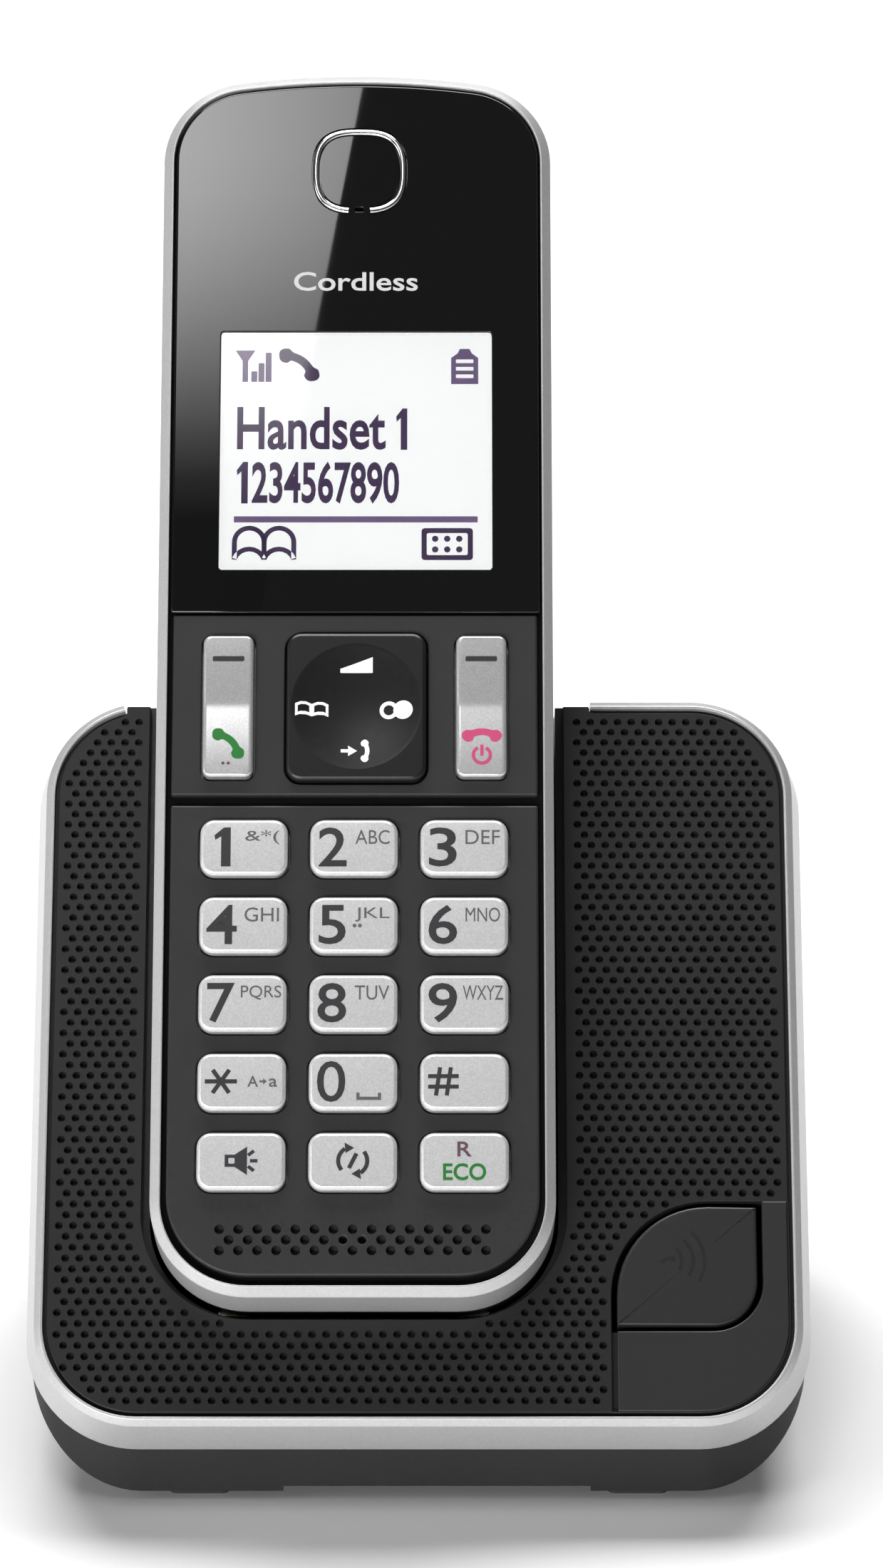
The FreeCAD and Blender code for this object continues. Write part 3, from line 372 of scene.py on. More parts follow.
silver_paint = finish("silver_paint", (0.47, 0.47, 0.47), 0.37, metallic=0.4, coat=0.2, coat_roughness=0.12,
                      cloud=(0.5, 0.34, 0.4), grain=(0.3, 0.003),
                      flakes=(0.22, (0.46, 0.46, 0.46), (0.49, 0.49, 0.493)))

crown_middle = BAND_TOP - CROWN_R
corner_x = BAND_HALF - TOP_CORNER_R
corner_y = crown_middle + math.sqrt((CROWN_R - TOP_CORNER_R) ** 2 - corner_x ** 2)
lean = math.degrees(math.atan2(corner_x, corner_y - crown_middle))
low_x = BAND_HALF - LOW_CORNER_R
low_y = BAND_LOW + LOW_CORNER_R
handset_edge = tidy_loop(np.concatenate([
    arc(low_x, low_y, LOW_CORNER_R, -90, 0, 19),
    arc(corner_x, corner_y, TOP_CORNER_R, 0, 90 - lean, 17),
    arc(0, crown_middle, CROWN_R, 90 - lean, 90 + lean, 15),
    arc(-corner_x, corner_y, TOP_CORNER_R, 90 + lean, 180, 17),
    arc(-low_x, low_y, LOW_CORNER_R, 180, 270, 19),
]))
band_profile = braced(rounded([(-BAND_INNER, -BAND_DEEP, 0.1), (0, -BAND_DEEP, 0.2), (0, -BEVEL_DEEP, 0.3),
                               (0.2 - BAND_INNER, 0, 0.12), (-BAND_INNER, 0, 0.08)], 5), 0.08)
band = Shell()
band.add_rings(carried(braced(handset_edge, 0.6), band_profile), closed=True)
make_piece("silver_band", band, on_handset, silver_paint, "handset", ["handset_silver_frame"])


# ---- The handset's face --------------------------------------------------------------------------
# A plate behind the band, near-black as painted shade for the step against the band and for the narrow
# trench between the pads. Two dark matt ABS pads stand up from it, one round the dialling keys and one round
# the long keys.
FACE_Z = -0.25
SEAT_Z = -1.25
FACE_BACK = -1.6
SKIRT_LOW = -4.2
FACE_INSET = 1.35
STEP_SIDE = 0.62
STEP_LOW = 1.15
FACE_TOP = 84.55
TRENCH = (59.96, 61.24)
KEY_SIZE = (10.7, 7.1)
KEY_PITCH = (13.47, 9.82)
KEY_ROW_1 = 54.33
KEY_R = 1.75
KEY_GAP = 0.25
ROCKER_X = 15.6
ROCKER_Y = 72.45
ROCKER_SIZE = (6.2, 18.2)
NAV_MIDDLE = (0.2, 72.4)
NAV_SIZE = (17.2, 19.0)
NAV_R = 1.8
DISPLAY = (-17.0, 17.0, 90.4, 121.9)
SOUND_ROWS = ((6.9, 15), (5.6, 14), (4.3, 15))   # rows of small dimples over the microphone
SOUND_PITCH = 2.29
SOUND_R = 0.6
SOUND_HOLE_R = 0.5
SOUND_DEEP = 0.9
DRAFT = 0.04              # how far a hollow's wall leans in
PAD_EDGE = 0.3            # rounding of a pad's outer edge and of its holes
HOLE_EDGE = 0.16
SEAT_WALL = 1.3           # wall that stands behind the seat, inside the band
KEY_NAMES = ["key_1", "key_2", "key_3", "key_4", "key_5", "key_6", "key_7", "key_8", "key_9",
             "key_star", "key_0", "key_hash", "key_speaker", "key_redial", "key_recall"]
KEY_PLACES = {name: ((i % 3 - 1) * KEY_PITCH[0], KEY_ROW_1 - i // 3 * KEY_PITCH[1])
              for i, name in enumerate(KEY_NAMES)}


def rectangle(x0, x1, y0, y1, radius, count=9):
    """Loop of a rectangle with round corners."""
    return rounded([(x0, y0, radius), (x1, y0, radius), (x1, y1, radius), (x0, y1, radius)], count)


def key_loop(middle, size, radius, grow=0.0):
    """Loop of a key or of its hole."""
    (x, y), half_x, half_y = middle, size[0] / 2 + grow, size[1] / 2 + grow
    return rectangle(x - half_x, x + half_x, y - half_y, y + half_y, radius + grow)


def circle(x, y, radius, count=16):
    """Loop of a circle."""
    return arc(x, y, radius, 0, 360, count + 1)[:-1]


def quarter(radius, count=4):
    """Steps (inwards, down) round a rounded edge, from the top face to the side."""
    turn = np.radians(np.linspace(90, 0, count + 1))
    return np.stack([radius * (1 - np.cos(turn)), radius * (1 - np.sin(turn))], 1)


def add_plate(shell, outer, holes, top, bottom, edge, hollows=(), outer_edge=None):
    """A flat plate with rounded upper edges; holes go through it and hollows are (loop, depth) in its top."""
    outer_steps = quarter(outer_edge or edge)
    steps = quarter(edge)
    outer_profile = [(0, bottom)] + [(-inward, top - down) for inward, down in outer_steps[::-1]]
    shell.add_rings(carried(outer, outer_profile))
    rims = []
    for hole in holes:
        profile = [(inward, top - down) for inward, down in steps] + [(0, bottom)]
        shell.add_rings(carried(hole, profile))
        rims.append(grown(hole, edge))
    for loop, deep in hollows:
        shell.add_rings(carried(loop, [(0, top), (-DRAFT, top - deep)]))
        shell.add_fill(grown(loop, -DRAFT), [], top - deep)
        rims.append(loop)
    shell.add_fill(grown(outer, -(outer_edge or edge)), rims, top)
    shell.add_fill(outer, holes, bottom, up=False)


face_black = finish("face_black", (0.022, 0.022, 0.0225), 0.5, specular=0.35, cloud=(0.5, 0.44, 0.56),
                    shades=(9.0, (0.021, 0.021, 0.0215), (0.023, 0.023, 0.0235)), grain=(0.16, 0.012))

through = {name: key_loop(place, KEY_SIZE, KEY_R, KEY_GAP) for name, place in KEY_PLACES.items()}
for side, x in (("left", -ROCKER_X), ("right", ROCKER_X)):
    through["rocker_" + side] = key_loop((x, ROCKER_Y), ROCKER_SIZE, 1.0, KEY_GAP)
through["navigator"] = key_loop(NAV_MIDDLE, NAV_SIZE, NAV_R, KEY_GAP)
sound_holes = [circle(x, SOUND_ROWS[1][0], SOUND_HOLE_R) for x in (-SOUND_PITCH / 2, SOUND_PITCH / 2)]
sound_dimples = []
for row_y, count in SOUND_ROWS:
    for x in (np.arange(count) - (count - 1) / 2) * SOUND_PITCH:
        if count % 2 or abs(x) > SOUND_PITCH:
            sound_dimples.append((circle(x, row_y, SOUND_R), SOUND_DEEP))

# The seat's near-black colour is painted shade: it darkens the step and the trench as if they were in shadow.
seat_painted_shade = finish("seat_painted_shade", (0.003, 0.003, 0.003), 0.6, specular=0.1, cloud=(0.6, 0.5, 0.6))

seat = Shell()
seat_edge = braced(grown(handset_edge, -FACE_INSET), 0.6)
display_hole = rectangle(DISPLAY[0] - 0.8, DISPLAY[1] + 0.8, DISPLAY[2] - 0.8, DISPLAY[3] + 0.8, 0.5)
add_plate(seat, seat_edge, list(through.values()) + sound_holes + [display_hole], SEAT_Z, FACE_BACK, 0.05)
wall_top = FACE_BACK + 0.1
wall_profile = rounded([(-SEAT_WALL, SKIRT_LOW, 0.1), (0, SKIRT_LOW, 0.1), (0, wall_top, 0),
                        (-SEAT_WALL, wall_top, 0)], 4)
seat.add_rings(carried(seat_edge, braced(wall_profile, 0.1)), closed=True)
make_piece("keypad_seat", seat, on_handset, seat_painted_shade, "handset", ["handset_front_case"])

face = Shell()
pad_half = BAND_HALF - FACE_INSET - STEP_SIDE
pad_corner = LOW_CORNER_R - FACE_INSET - STEP_SIDE
pad_low = BAND_LOW + FACE_INSET + STEP_LOW
lower_pad = rounded([(-pad_half, pad_low, pad_corner), (pad_half, pad_low, pad_corner),
                     (pad_half, TRENCH[0], 0.25), (-pad_half, TRENCH[0], 0.25)], 17)
upper_pad = rectangle(-pad_half, pad_half, TRENCH[1], FACE_TOP, 0.25)
pad_back = SEAT_Z - 0.05
add_plate(face, braced(lower_pad, 0.5), [through[name] for name in KEY_NAMES] + sound_holes, FACE_Z, pad_back,
          HOLE_EDGE, sound_dimples, PAD_EDGE)
upper_holes = [through[name] for name in ("rocker_left", "rocker_right", "navigator")]
add_plate(face, braced(upper_pad, 0.5), upper_holes, FACE_Z, pad_back, HOLE_EDGE, (), PAD_EDGE)
make_piece("keypad_face", face, on_handset, face_black, "handset", ["handset_front_case"])


# ---- The lens ------------------------------------------------------------------------------------
# A clear acrylic plate painted black on its back, so it is deep black and mirror smooth. It is
# punched for the display and for the earpiece, and has a groove for the bright ring.
LENS_Z = 0.0
LENS_THICK = 1.2
LENS_INSET = FACE_INSET + 0.3
LENS_LOW = 84.75
RING_MIDDLE = (0.3, 143.6)
RING_HALF = (5.5, 5.35)
RING_WIDE = 0.82
RING_GAP = 8.0            # half the break in the ring, in degrees
RING_POWER = 0.7
SLOT_HALF = 0.55          # slot in the break, where the sound comes out


def squarish(middle, half, turn):
    """Points of a superellipse: the cosine and the sine of the turn are each raised to a power below 1."""
    wave = np.stack([np.cos(np.radians(turn)), np.sin(np.radians(turn))], 1)
    return middle + np.sign(wave) * np.abs(wave) ** RING_POWER * half


def stroke(line, wide):
    """Closed outline of a pen stroke along an open line; the width may change along it."""
    line = np.asarray(line, float)
    on = np.gradient(line, axis=0)
    on /= np.linalg.norm(on, axis=1)[:, None]
    side = np.stack([on[:, 1], -on[:, 0]], 1) * (np.asarray(wide) / 2 * np.ones(len(line)))[:, None]
    return np.concatenate([line + side, (line - side)[::-1]])


lens_black = finish("lens_black", (0.004, 0.004, 0.0045), 0.06, coat=0.3, coat_roughness=0.01,
                    cloud=(14.0, 0.012, 0.02))

ring_line = squarish(RING_MIDDLE, RING_HALF, np.linspace(-90 + RING_GAP, 270 - RING_GAP, 73))
lens = Shell()
lens_full = grown(handset_edge, -LENS_INSET)
lens_top = lens_full[lens_full[:, 1] > LENS_LOW]
lens_half = BAND_HALF - LENS_INSET
lens_foot = rounded([(-lens_half, LENS_LOW, 0.3), (lens_half, LENS_LOW, 0.3), (lens_half, LENS_LOW + 20, 0),
                     (-lens_half, LENS_LOW + 20, 0)], 5)[:-2]
lens_loop = tidy_loop(np.vstack([lens_foot, lens_top]))
ring_groove = stroke(ring_line, RING_WIDE + 0.3)
ring_low = RING_MIDDLE[1] - RING_HALF[1]
earpiece_slot = rectangle(RING_MIDDLE[0] - SLOT_HALF, RING_MIDDLE[0] + SLOT_HALF, ring_low - 0.15,
                          ring_low + 0.45, 0.25, 5)
add_plate(lens, braced(lens_loop, 0.5), [rectangle(*DISPLAY, 0.4), earpiece_slot], LENS_Z, -LENS_THICK, 0.12,
          [(ring_groove, 0.45)], 0.28)
make_piece("lens", lens, on_handset, lens_black, "handset", ["lens_panel"])


# ---- The bright ring -----------------------------------------------------------------------------
# A stamped and plated ring let into the lens round the earpiece, open at the bottom where the sound
# comes out. Its top is rounded, so it is a half round bar bent into a squarish hoop.
RING_FOOT = -0.42
RING_CROWN = 0.14
ring_metal = finish("ring_metal", (0.82, 0.82, 0.83), 0.16, metallic=1.0, cloud=(0.4, 0.12, 0.22))

ring = Shell()
across = np.linspace(-1, 1, 9)
bar_z = RING_CROWN - 0.38 * (1 - np.sqrt(1 - (across * 0.96) ** 2))
ring_on = np.gradient(ring_line, axis=0)
ring_on /= np.linalg.norm(ring_on, axis=1)[:, None]
ring_side = np.stack([ring_on[:, 1], -ring_on[:, 0]], 1)
section = np.concatenate([[(1, RING_FOOT)], np.stack([across, bar_z], 1)[::-1], [(-1, RING_FOOT)]])
flat_xy = ring_line[:, None] + ring_side[:, None] * section[None, :, :1] * RING_WIDE / 2
bars = np.concatenate([flat_xy, np.broadcast_to(section[None, :, 1:], flat_xy.shape[:2] + (1,))], 2)
ring.add_rings(bars[::-1])
ring.add(bars[0], [list(range(len(section)))], flat=True)
ring.add(bars[-1], [list(range(len(section)))[::-1]], flat=True)
make_piece("earpiece_ring", ring, on_handset, ring_metal, "handset", ["receiver_ring"])


# ---- The dialling keys ---------------------------------------------------------------------------
# Fifteen small keys moulded in one family tool, painted light silver under a clear coat. Each has a
# chamfer round a slightly crowned top, a lip that keeps it in the case and a round foot over its dome.
KEY_TOP = 0.8
KEY_CHAMFER = 0.42
KEY_CROWN = 0.1
LIP = 0.6
LIP_TOP = -2.0
LIP_THICK = 0.9
FOOT_R = 1.6
FOOT_LOW = -6.0

key_silver = finish("key_silver", (0.60, 0.60, 0.60), 0.34, metallic=0.35, coat=0.3, coat_roughness=0.1,
                    flakes=(0.16, (0.565, 0.565, 0.57), (0.635, 0.635, 0.64)), grain=(0.3, 0.004))


def add_key(shell, middle, surface):
    """A key: lip, sides, chamfer and top. Rings shrink to the middle, and the surface gives their height."""
    loop = braced(key_loop(middle, KEY_SIZE, KEY_R), 0.5)
    low = LIP_TOP - LIP_THICK
    rings = list(carried(loop, [(LIP, low), (LIP, LIP_TOP), (0, LIP_TOP), (0, KEY_TOP - 0.5),
                                (0, KEY_TOP - 0.42), (-0.06, KEY_TOP - 0.3),
                                (-KEY_CHAMFER + 0.07, KEY_TOP - 0.03), (-KEY_CHAMFER, KEY_TOP)]))
    rim = grown(loop, -KEY_CHAMFER)
    for share in (1.0, 0.97, 0.85, 0.65, 0.45, 0.25, 0.1):
        flat = middle + (rim - middle) * share
        rings.append(np.column_stack([flat, surface(flat[:, 0], flat[:, 1])]))
    shell.add_rings(rings)
    shell.add_fan(rings[-1], [*middle, surface(*np.array(middle))])
    shell.add_fan(rings[0], [*middle, low], up=False)


def add_foot(shell, x, y, top):
    """The round foot under a key."""
    loop = circle(x, y, FOOT_R, 20)
    rings = carried(loop, [(-0.2, FOOT_LOW), (0, FOOT_LOW + 0.2), (0, top)])
    shell.add_rings(rings)
    shell.add_fan(rings[0], [x, y, FOOT_LOW], up=False)
    shell.add_fan(rings[-1], [x, y, top])


def key_surface(middle):
    """Height of a key's top: a crown that falls with the square of the distance from the middle."""
    def height(x, y):
        across = ((x - middle[0]) / (KEY_SIZE[0] / 2)) ** 2
        along = ((y - middle[1]) / (KEY_SIZE[1] / 2)) ** 2
        return KEY_TOP + KEY_CROWN * (1 - np.minimum(1, (across + along) / 1.45))
    return height


for name, place in KEY_PLACES.items():
    key = Shell()
    add_key(key, place, key_surface(place))
    add_foot(key, *place, LIP_TOP - LIP_THICK + 0.05)
    make_piece("cap_" + name, key, on_handset, key_silver, name, [name])


# ---- The legends on the keys ---------------------------------------------------------------------
# Pad-printed ink, a few hundredths of a millimetre thick, so each legend is a thin slab that lies on
# the crown of its key. Letters come from the built-in typeface, and the symbols are drawn.
INK = 0.025

INK_CLOUD = (0.2, 0.4, 0.6)
ink_grey = finish("ink_grey", (0.022, 0.022, 0.024), 0.45, cloud=INK_CLOUD)
ink_small = finish("ink_small", (0.09, 0.09, 0.095), 0.5, cloud=INK_CLOUD)
ink_green = finish("ink_green", (0.008, 0.15, 0.018), 0.45, cloud=INK_CLOUD)
ink_red = finish("ink_red", (0.48, 0.05, 0.15), 0.45, cloud=INK_CLOUD)
ink_plum = finish("ink_plum", (0.10, 0.045, 0.07), 0.5, cloud=INK_CLOUD)
ink_white = finish("ink_white", (0.85, 0.85, 0.85), 0.4, cloud=INK_CLOUD)
ink_lens = finish("ink_lens", (0.55, 0.55, 0.55), 0.35, cloud=(0.3, 0.3, 0.45))


def letters(words, middle, size, weight=0.0):
    """Letters of the built-in typeface as a thin slab, fitted to a box of a given middle and size."""
    curve = bpy.data.curves.new("letters", "FONT")
    curve.body = words
    curve.resolution_u = 4
    curve.offset = weight
    curve.extrude = 0.5
    holder = bpy.data.objects.new("letters", curve)
    bpy.context.scene.collection.objects.link(holder)
    bpy.context.view_layer.update()
    mesh = bpy.data.meshes.new_from_object(holder)
    points = np.empty(len(mesh.vertices) * 3)
    mesh.vertices.foreach_get("co", points)
    points = points.reshape(-1, 3)
    faces = [list(face.vertices) for face in mesh.polygons]
    bpy.data.objects.remove(holder)
    bpy.data.curves.remove(curve)
    bpy.data.meshes.remove(mesh)
    low = points.min(0)
    high = points.max(0)
    points = (points - (low + high) / 2) / (high - low) * (size[0], size[1], INK)
    return points + (middle[0], middle[1], INK / 2), faces


def anticlockwise(loop):
    """The loop, turned round if it runs clockwise."""
    loop = np.asarray(loop, float)
    after = np.roll(loop, -1, 0)
    area = (loop[:, 0] * after[:, 1] - after[:, 0] * loop[:, 1]).sum()
    return loop if area > 0 else loop[::-1]


def slab(outer, holes=()):
    """A thin slab with a given outline and holes."""
    outer = anticlockwise(outer)
    holes = [anticlockwise(hole) for hole in holes]
    shell = Shell()
    shell.add_rings(carried(outer, [(0, 0), (0, INK)]))
    for hole in holes:
        shell.add_rings(carried(hole, [(0, INK), (0, 0)]))
    shell.add_fill(outer, holes, INK)
    shell.add_fill(outer, holes, 0, up=False)
    return np.concatenate(shell.points), shell.faces


def moved(line, middle, size=1.0, turn=0.0):
    """A drawn line made larger, turned and moved to its place."""
    angle = math.radians(turn)
    line = np.asarray(line, float) * size
    x = line[:, 0] * math.cos(angle) - line[:, 1] * math.sin(angle)
    y = line[:, 0] * math.sin(angle) + line[:, 1] * math.cos(angle)
    return np.stack([x + middle[0], y + middle[1]], 1)


def receiver(middle, size, turn):
    """Outline of a telephone receiver: an arched bar whose width swells at both ends."""
    along = np.sin(np.linspace(-1, 1, 41) * math.pi / 2)
    line = np.stack([along * 0.46, -0.2 * along ** 2 + 0.12], 1)
    swell = 0.15 + 0.15 * np.clip((np.abs(along) - 0.5) / 0.16, 0, 1)
    wide = swell * np.sqrt(np.clip(1 - np.abs(along) ** 10, 0, 1)) + 0.03
    return moved(stroke(line, wide), middle, size, turn)


LONGEST = 1.5             # longest side of a legend's triangles
SUNK = 0.006              # how far ink sinks into what it lies on


def cut_small(points, faces):
    """The same surface in small triangles, so that it can follow a curve."""
    made = bmesh.new()
    for point in points:
        made.verts.new(point)
    made.verts.ensure_lookup_table()
    for face in faces:
        made.faces.new([made.verts[i] for i in face])
    bmesh.ops.triangulate(made, faces=made.faces[:])
    for _ in range(6):
        long = [edge for edge in made.edges if edge.calc_length() > LONGEST]
        if long:
            bmesh.ops.subdivide_edges(made, edges=long, cuts=1)
            bmesh.ops.triangulate(made, faces=made.faces[:])
    made.verts.index_update()
    points = np.array([vertex.co[:] for vertex in made.verts])
    faces = [[vertex.index for vertex in face.verts] for face in made.faces]
    made.free()
    return points, faces


def print_on(name, marks, surface, placed, material, body):
    """Lays slabs of ink on a surface and makes them one piece."""
    shell = Shell()
    for mark in marks:
        points, faces = cut_small(*mark)
        points[:, 2] += surface(points[:, 0], points[:, 1]) - SUNK
        shell.add(points, faces, flat=True)
    return make_piece(name, shell, placed, material, body)


def print_key(name, marks, key, ink):
    """Prints slabs of ink on the crown of a dialling key."""
    print_on(name, marks, key_surface(KEY_PLACES[key]), on_handset, ink, key)


def level(height):
    """A surface that is flat at a height."""
    return lambda x, y: np.full(len(x), height)


ONE = [(-0.1, 0), (0.32, 0), (0.32, 1), (0.02, 1), (-0.4, 0.8), (-0.36, 0.68), (-0.1, 0.77)]
ONE_WIDE = 0.72


def figure_one(middle, size):
    """The figure 1: an upright with a short flag, fitted to a box."""
    return slab(np.array([((x + 0.04) * size[0] / ONE_WIDE, (y - 0.5) * size[1]) for x, y in ONE]) + middle)


DIGIT_X = -2.62
DIGIT_HIGH = 4.95
SMALL_X = 2.25
SMALL_Y = 1.25
SMALL_HIGH = 1.8
DIGITS = {"1": (2.0, "&*("), "2": (3.45, "ABC"), "3": (3.4, "DEF"), "4": (3.7, "GHI"), "5": (3.3, "JKL"),
          "6": (3.5, "MNO"), "7": (3.35, "PQRS"), "8": (3.5, "TUV"), "9": (3.5, "WXYZ")}
for digit, (wide, small) in DIGITS.items():
    x, y = KEY_PLACES["key_" + digit]
    where = ((x + DIGIT_X, y), (wide, DIGIT_HIGH))
    mark = figure_one(*where) if digit == "1" else letters(digit, *where, 0.01)
    print_key("digit_" + digit, [mark], "key_" + digit, ink_grey)
    small_wide = 4.9 if len(small) == 4 else 4.2
    marks = [letters(small, (x + SMALL_X, y + SMALL_Y), (small_wide, SMALL_HIGH))]
    if digit == "5":
        marks += [slab(circle(x + dx, y - 0.15, 0.24)) for dx in (0.1, 0.75)]
    print_key("letters_" + digit, marks, "key_" + digit, ink_small)

x, y = KEY_PLACES["key_star"]
arms = [slab(stroke(moved([(-0.5, 0), (0, 0), (0.5, 0)], (x - 2.5, y), long, turn), 0.52))
        for turn, long in ((0, 3.9), (55, 3.5), (125, 3.5))]
print_key("digit_star", arms, "key_star", ink_grey)
arrow = slab(np.array([(x + 2.15, y - 0.12), (x + 2.6, y - 0.12), (x + 2.6, y - 0.38), (x + 3.05, y),
                       (x + 2.6, y + 0.38), (x + 2.6, y + 0.12), (x + 2.15, y + 0.12)]))
print_key("letters_star", [letters("A", (x + 1.35, y), (1.3, 1.35), 0.01), arrow,
                           letters("a", (x + 3.8, y - 0.15), (1.0, 1.05), 0.01)], "key_star", ink_small)

x, y = KEY_PLACES["key_0"]
print_key("digit_0", [letters("0", (x - 2.65, y), (3.45, 5.1), 0.004)], "key_0", ink_grey)
space_mark = [(0.4, -2.3), (3.4, -2.3), (3.4, -1.4), (3.0, -1.4), (3.0, -1.9), (0.8, -1.9), (0.8, -1.4),
              (0.4, -1.4)]
print_key("letters_0", [slab(moved(space_mark, (x, y)))], "key_0", ink_small)

x, y = KEY_PLACES["key_hash"]
bars = []
for shift in (-0.65, 0.65):
    bars.append(slab(stroke([(x - 2.8 + shift, y - 1.75), (x - 2.3 + shift, y + 1.75)], 0.5)))
    bars.append(slab(stroke([(x - 4.4, y + shift), (x - 0.7, y + shift)], 0.5)))
print_key("digit_hash", bars, "key_hash", ink_grey)

x, y = KEY_PLACES["key_speaker"]
horn = [(-1.95, -0.75), (-0.75, -0.75), (0.75, -1.75), (0.75, 1.75), (-0.75, 0.75), (-1.95, 0.75)]
marks = [slab(moved(horn, (x, y)), [rectangle(x - 1.5, x - 0.75, y - 0.35, y + 0.35, 0.1, 3)])]
marks += [slab(stroke(moved([(1.1, 0), (1.5, 0), (2.0, 0)], (x, y), 1, turn), 0.42)) for turn in (-38, 0, 38)]
print_key("symbol_speaker", marks, "key_speaker", ink_grey)

x, y = KEY_PLACES["key_redial"]
marks = [slab(stroke([(x - 0.45, y - 0.9), (x + 0.45, y + 0.9)], 0.5))]
for turn in (0, 180):
    marks.append(slab(stroke(moved(arc(0, 0, 1.75, 122, 220, 13), (x, y), 1, turn), 0.5)))
    marks.append(slab(moved([(0.15, 1.6), (-1.0, 2.25), (-0.85, 0.95)], (x, y), 1, turn)))
print_key("symbol_redial", marks, "key_redial", ink_grey)

x, y = KEY_PLACES["key_recall"]
print_key("letter_recall", [letters("R", (x, y + 1.45), (1.75, 1.85), 0.012)], "key_recall", ink_plum)
print_key("letters_saving", [letters("ECO", (x, y - 1.35), (5.2, 2.1), 0.02)], "key_recall", ink_green)

word = letters("Cordless", (-0.1, 128.65), (15.6, 2.55), 0.012)
print_on("word_on_lens", [word], level(LENS_Z), on_handset, ink_lens, "handset")


# ---- The two rocking keys ------------------------------------------------------------------------
# Long painted keys each side of the four-way key. Their tops meet in a shallow valley in the middle,
# so the two halves catch the light differently. The left one takes a call and the right one ends it.
VALLEY_DEEP = 0.42
ROCKER_FOLD = 0.3         # the fold lies just above the key's middle
PIN_R = 0.6
PIN_REACH = 4.7
PIVOT_Z = -3.0
ROCKER_FOOT = 6.2
ROCKER_CHAMFER = 0.3

rocker_silver = finish("rocker_silver", (0.60, 0.60, 0.605), 0.27, metallic=0.6, coat=0.3,
                       coat_roughness=0.08, flakes=(0.16, (0.56, 0.56, 0.565), (0.63, 0.63, 0.635)),
                       grain=(0.3, 0.003))


def rocker_surface(x, y):
    """Height of a rocking key: a quarter sine wave that rises from the fold to each end."""
    away = np.clip(np.abs(y - ROCKER_Y - ROCKER_FOLD) / (ROCKER_SIZE[1] / 2), 0, 1)
    return KEY_TOP - VALLEY_DEEP * (1 - np.sin(away * math.pi / 2))


def add_long_key(shell, x):
    """A rocking key: rings up its side, then lines of the rim drawn together across its curved top."""
    loop = divided(key_loop((x, ROCKER_Y), ROCKER_SIZE, 1.0), 0.45)
    low = LIP_TOP - LIP_THICK
    rim = grown(loop, -ROCKER_CHAMFER)
    top = rocker_surface(rim[:, 0], rim[:, 1])
    rings = list(carried(loop, [(LIP, low), (LIP, LIP_TOP), (0, LIP_TOP)]))
    edge = ((0, 0.42), (0, 0.36), (0.05, 0.2), (ROCKER_CHAMFER - 0.06, 0.03), (ROCKER_CHAMFER, 0))
    for inward, down in edge:
        rings.append(np.column_stack([grown(loop, -inward), top - down]))
    for share in (0.9, 0.6, 0.3, 0.0):
        across = x + (rim[:, 0] - x) * share
        rings.append(np.column_stack([across, rim[:, 1], rocker_surface(across, rim[:, 1])]))
    shell.add_rings(rings)
    shell.add_fan(rings[0], [x, ROCKER_Y, low], up=False)


def add_pin(shell, x, y):
    """The round bar that a rocking key turns on, along X, with small chamfers at its ends."""
    turn = np.radians(np.arange(0, 360, 20))
    rings = []
    for reach, radius in ((-PIN_REACH, PIN_R - 0.1), (0.1 - PIN_REACH, PIN_R), (PIN_REACH - 0.1, PIN_R),
                          (PIN_REACH, PIN_R - 0.1)):
        rings.append(np.stack([np.full(len(turn), x + reach), y + radius * np.cos(turn),
                               PIVOT_Z + radius * np.sin(turn)], 1))
    shell.add_rings(rings)
    shell.add_fan(rings[0], [x - PIN_REACH, y, PIVOT_Z], up=False)
    shell.add_fan(rings[-1], [x + PIN_REACH, y, PIVOT_Z])


def print_rocker(name, marks, side, ink):
    """Prints slabs of ink on the top of a rocking key."""
    print_on(name, marks, rocker_surface, on_handset, ink, "rocker_key_" + side)


for side, x in (("left", -ROCKER_X), ("right", ROCKER_X)):
    name = "rocker_key_" + side
    key = Shell()
    add_long_key(key, x)
    for foot in (-ROCKER_FOOT, ROCKER_FOOT):
        add_foot(key, x, ROCKER_Y + foot, LIP_TOP - LIP_THICK + 0.05)
    add_pin(key, x, ROCKER_Y)
    make_piece("cap_" + name, key, on_handset, rocker_silver, name, [name])
    dash = slab(rectangle(x - 1.95, x + 1.95, ROCKER_Y + 5.75, ROCKER_Y + 6.4, 0.15, 4))
    print_rocker("dash_" + side, [dash], side, ink_grey)

print_rocker("symbol_take_call", [slab(receiver((-ROCKER_X, ROCKER_Y - 4.9), 5.0, -45))], "left", ink_green)
dots = [slab(circle(-ROCKER_X - 0.25 + dx, ROCKER_Y - 7.4, 0.2)) for dx in (-0.3, 0.35)]
print_rocker("dots_left", dots, "left", ink_plum)
power_x = ROCKER_X + 0.05
power_y = ROCKER_Y - 6.35
marks = [slab(receiver((power_x, ROCKER_Y - 3.9), 4.9, 0)),
         slab(stroke(arc(power_x, power_y, 1.05, 118, 422, 33), 0.42)),
         slab(stroke([(power_x, power_y - 0.1), (power_x, power_y + 1.35)], 0.42))]
print_rocker("symbol_end_call", marks, "right", ink_red)


# ---- The four-way key ----------------------------------------------------------------------------
# A square black key with a round hollow for the thumb, turned out of a flat top. It rocks on a post
# below, so its lip is set lower than the other keys' and its underside has a round socket.
DISH_R = 8.0
DISH_DEEP = 0.95
NAV_TOP = 0.8
NAV_LIP_TOP = -2.45
NAV_CHAMFER = 0.46
NAV_SIDES = 64
NAV_FOOT_INSET = 1.5
NAV_FOOT_Z = LIP_TOP - LIP_THICK
NAV_SOCKET_R = 1.9
NAV_SOCKET_DEEP = 1.8

navigator_black = finish("navigator_black", (0.009, 0.009, 0.0092), 0.38, specular=0.35,
                         cloud=(0.4, 0.32, 0.4), grain=(0.2, 0.006))


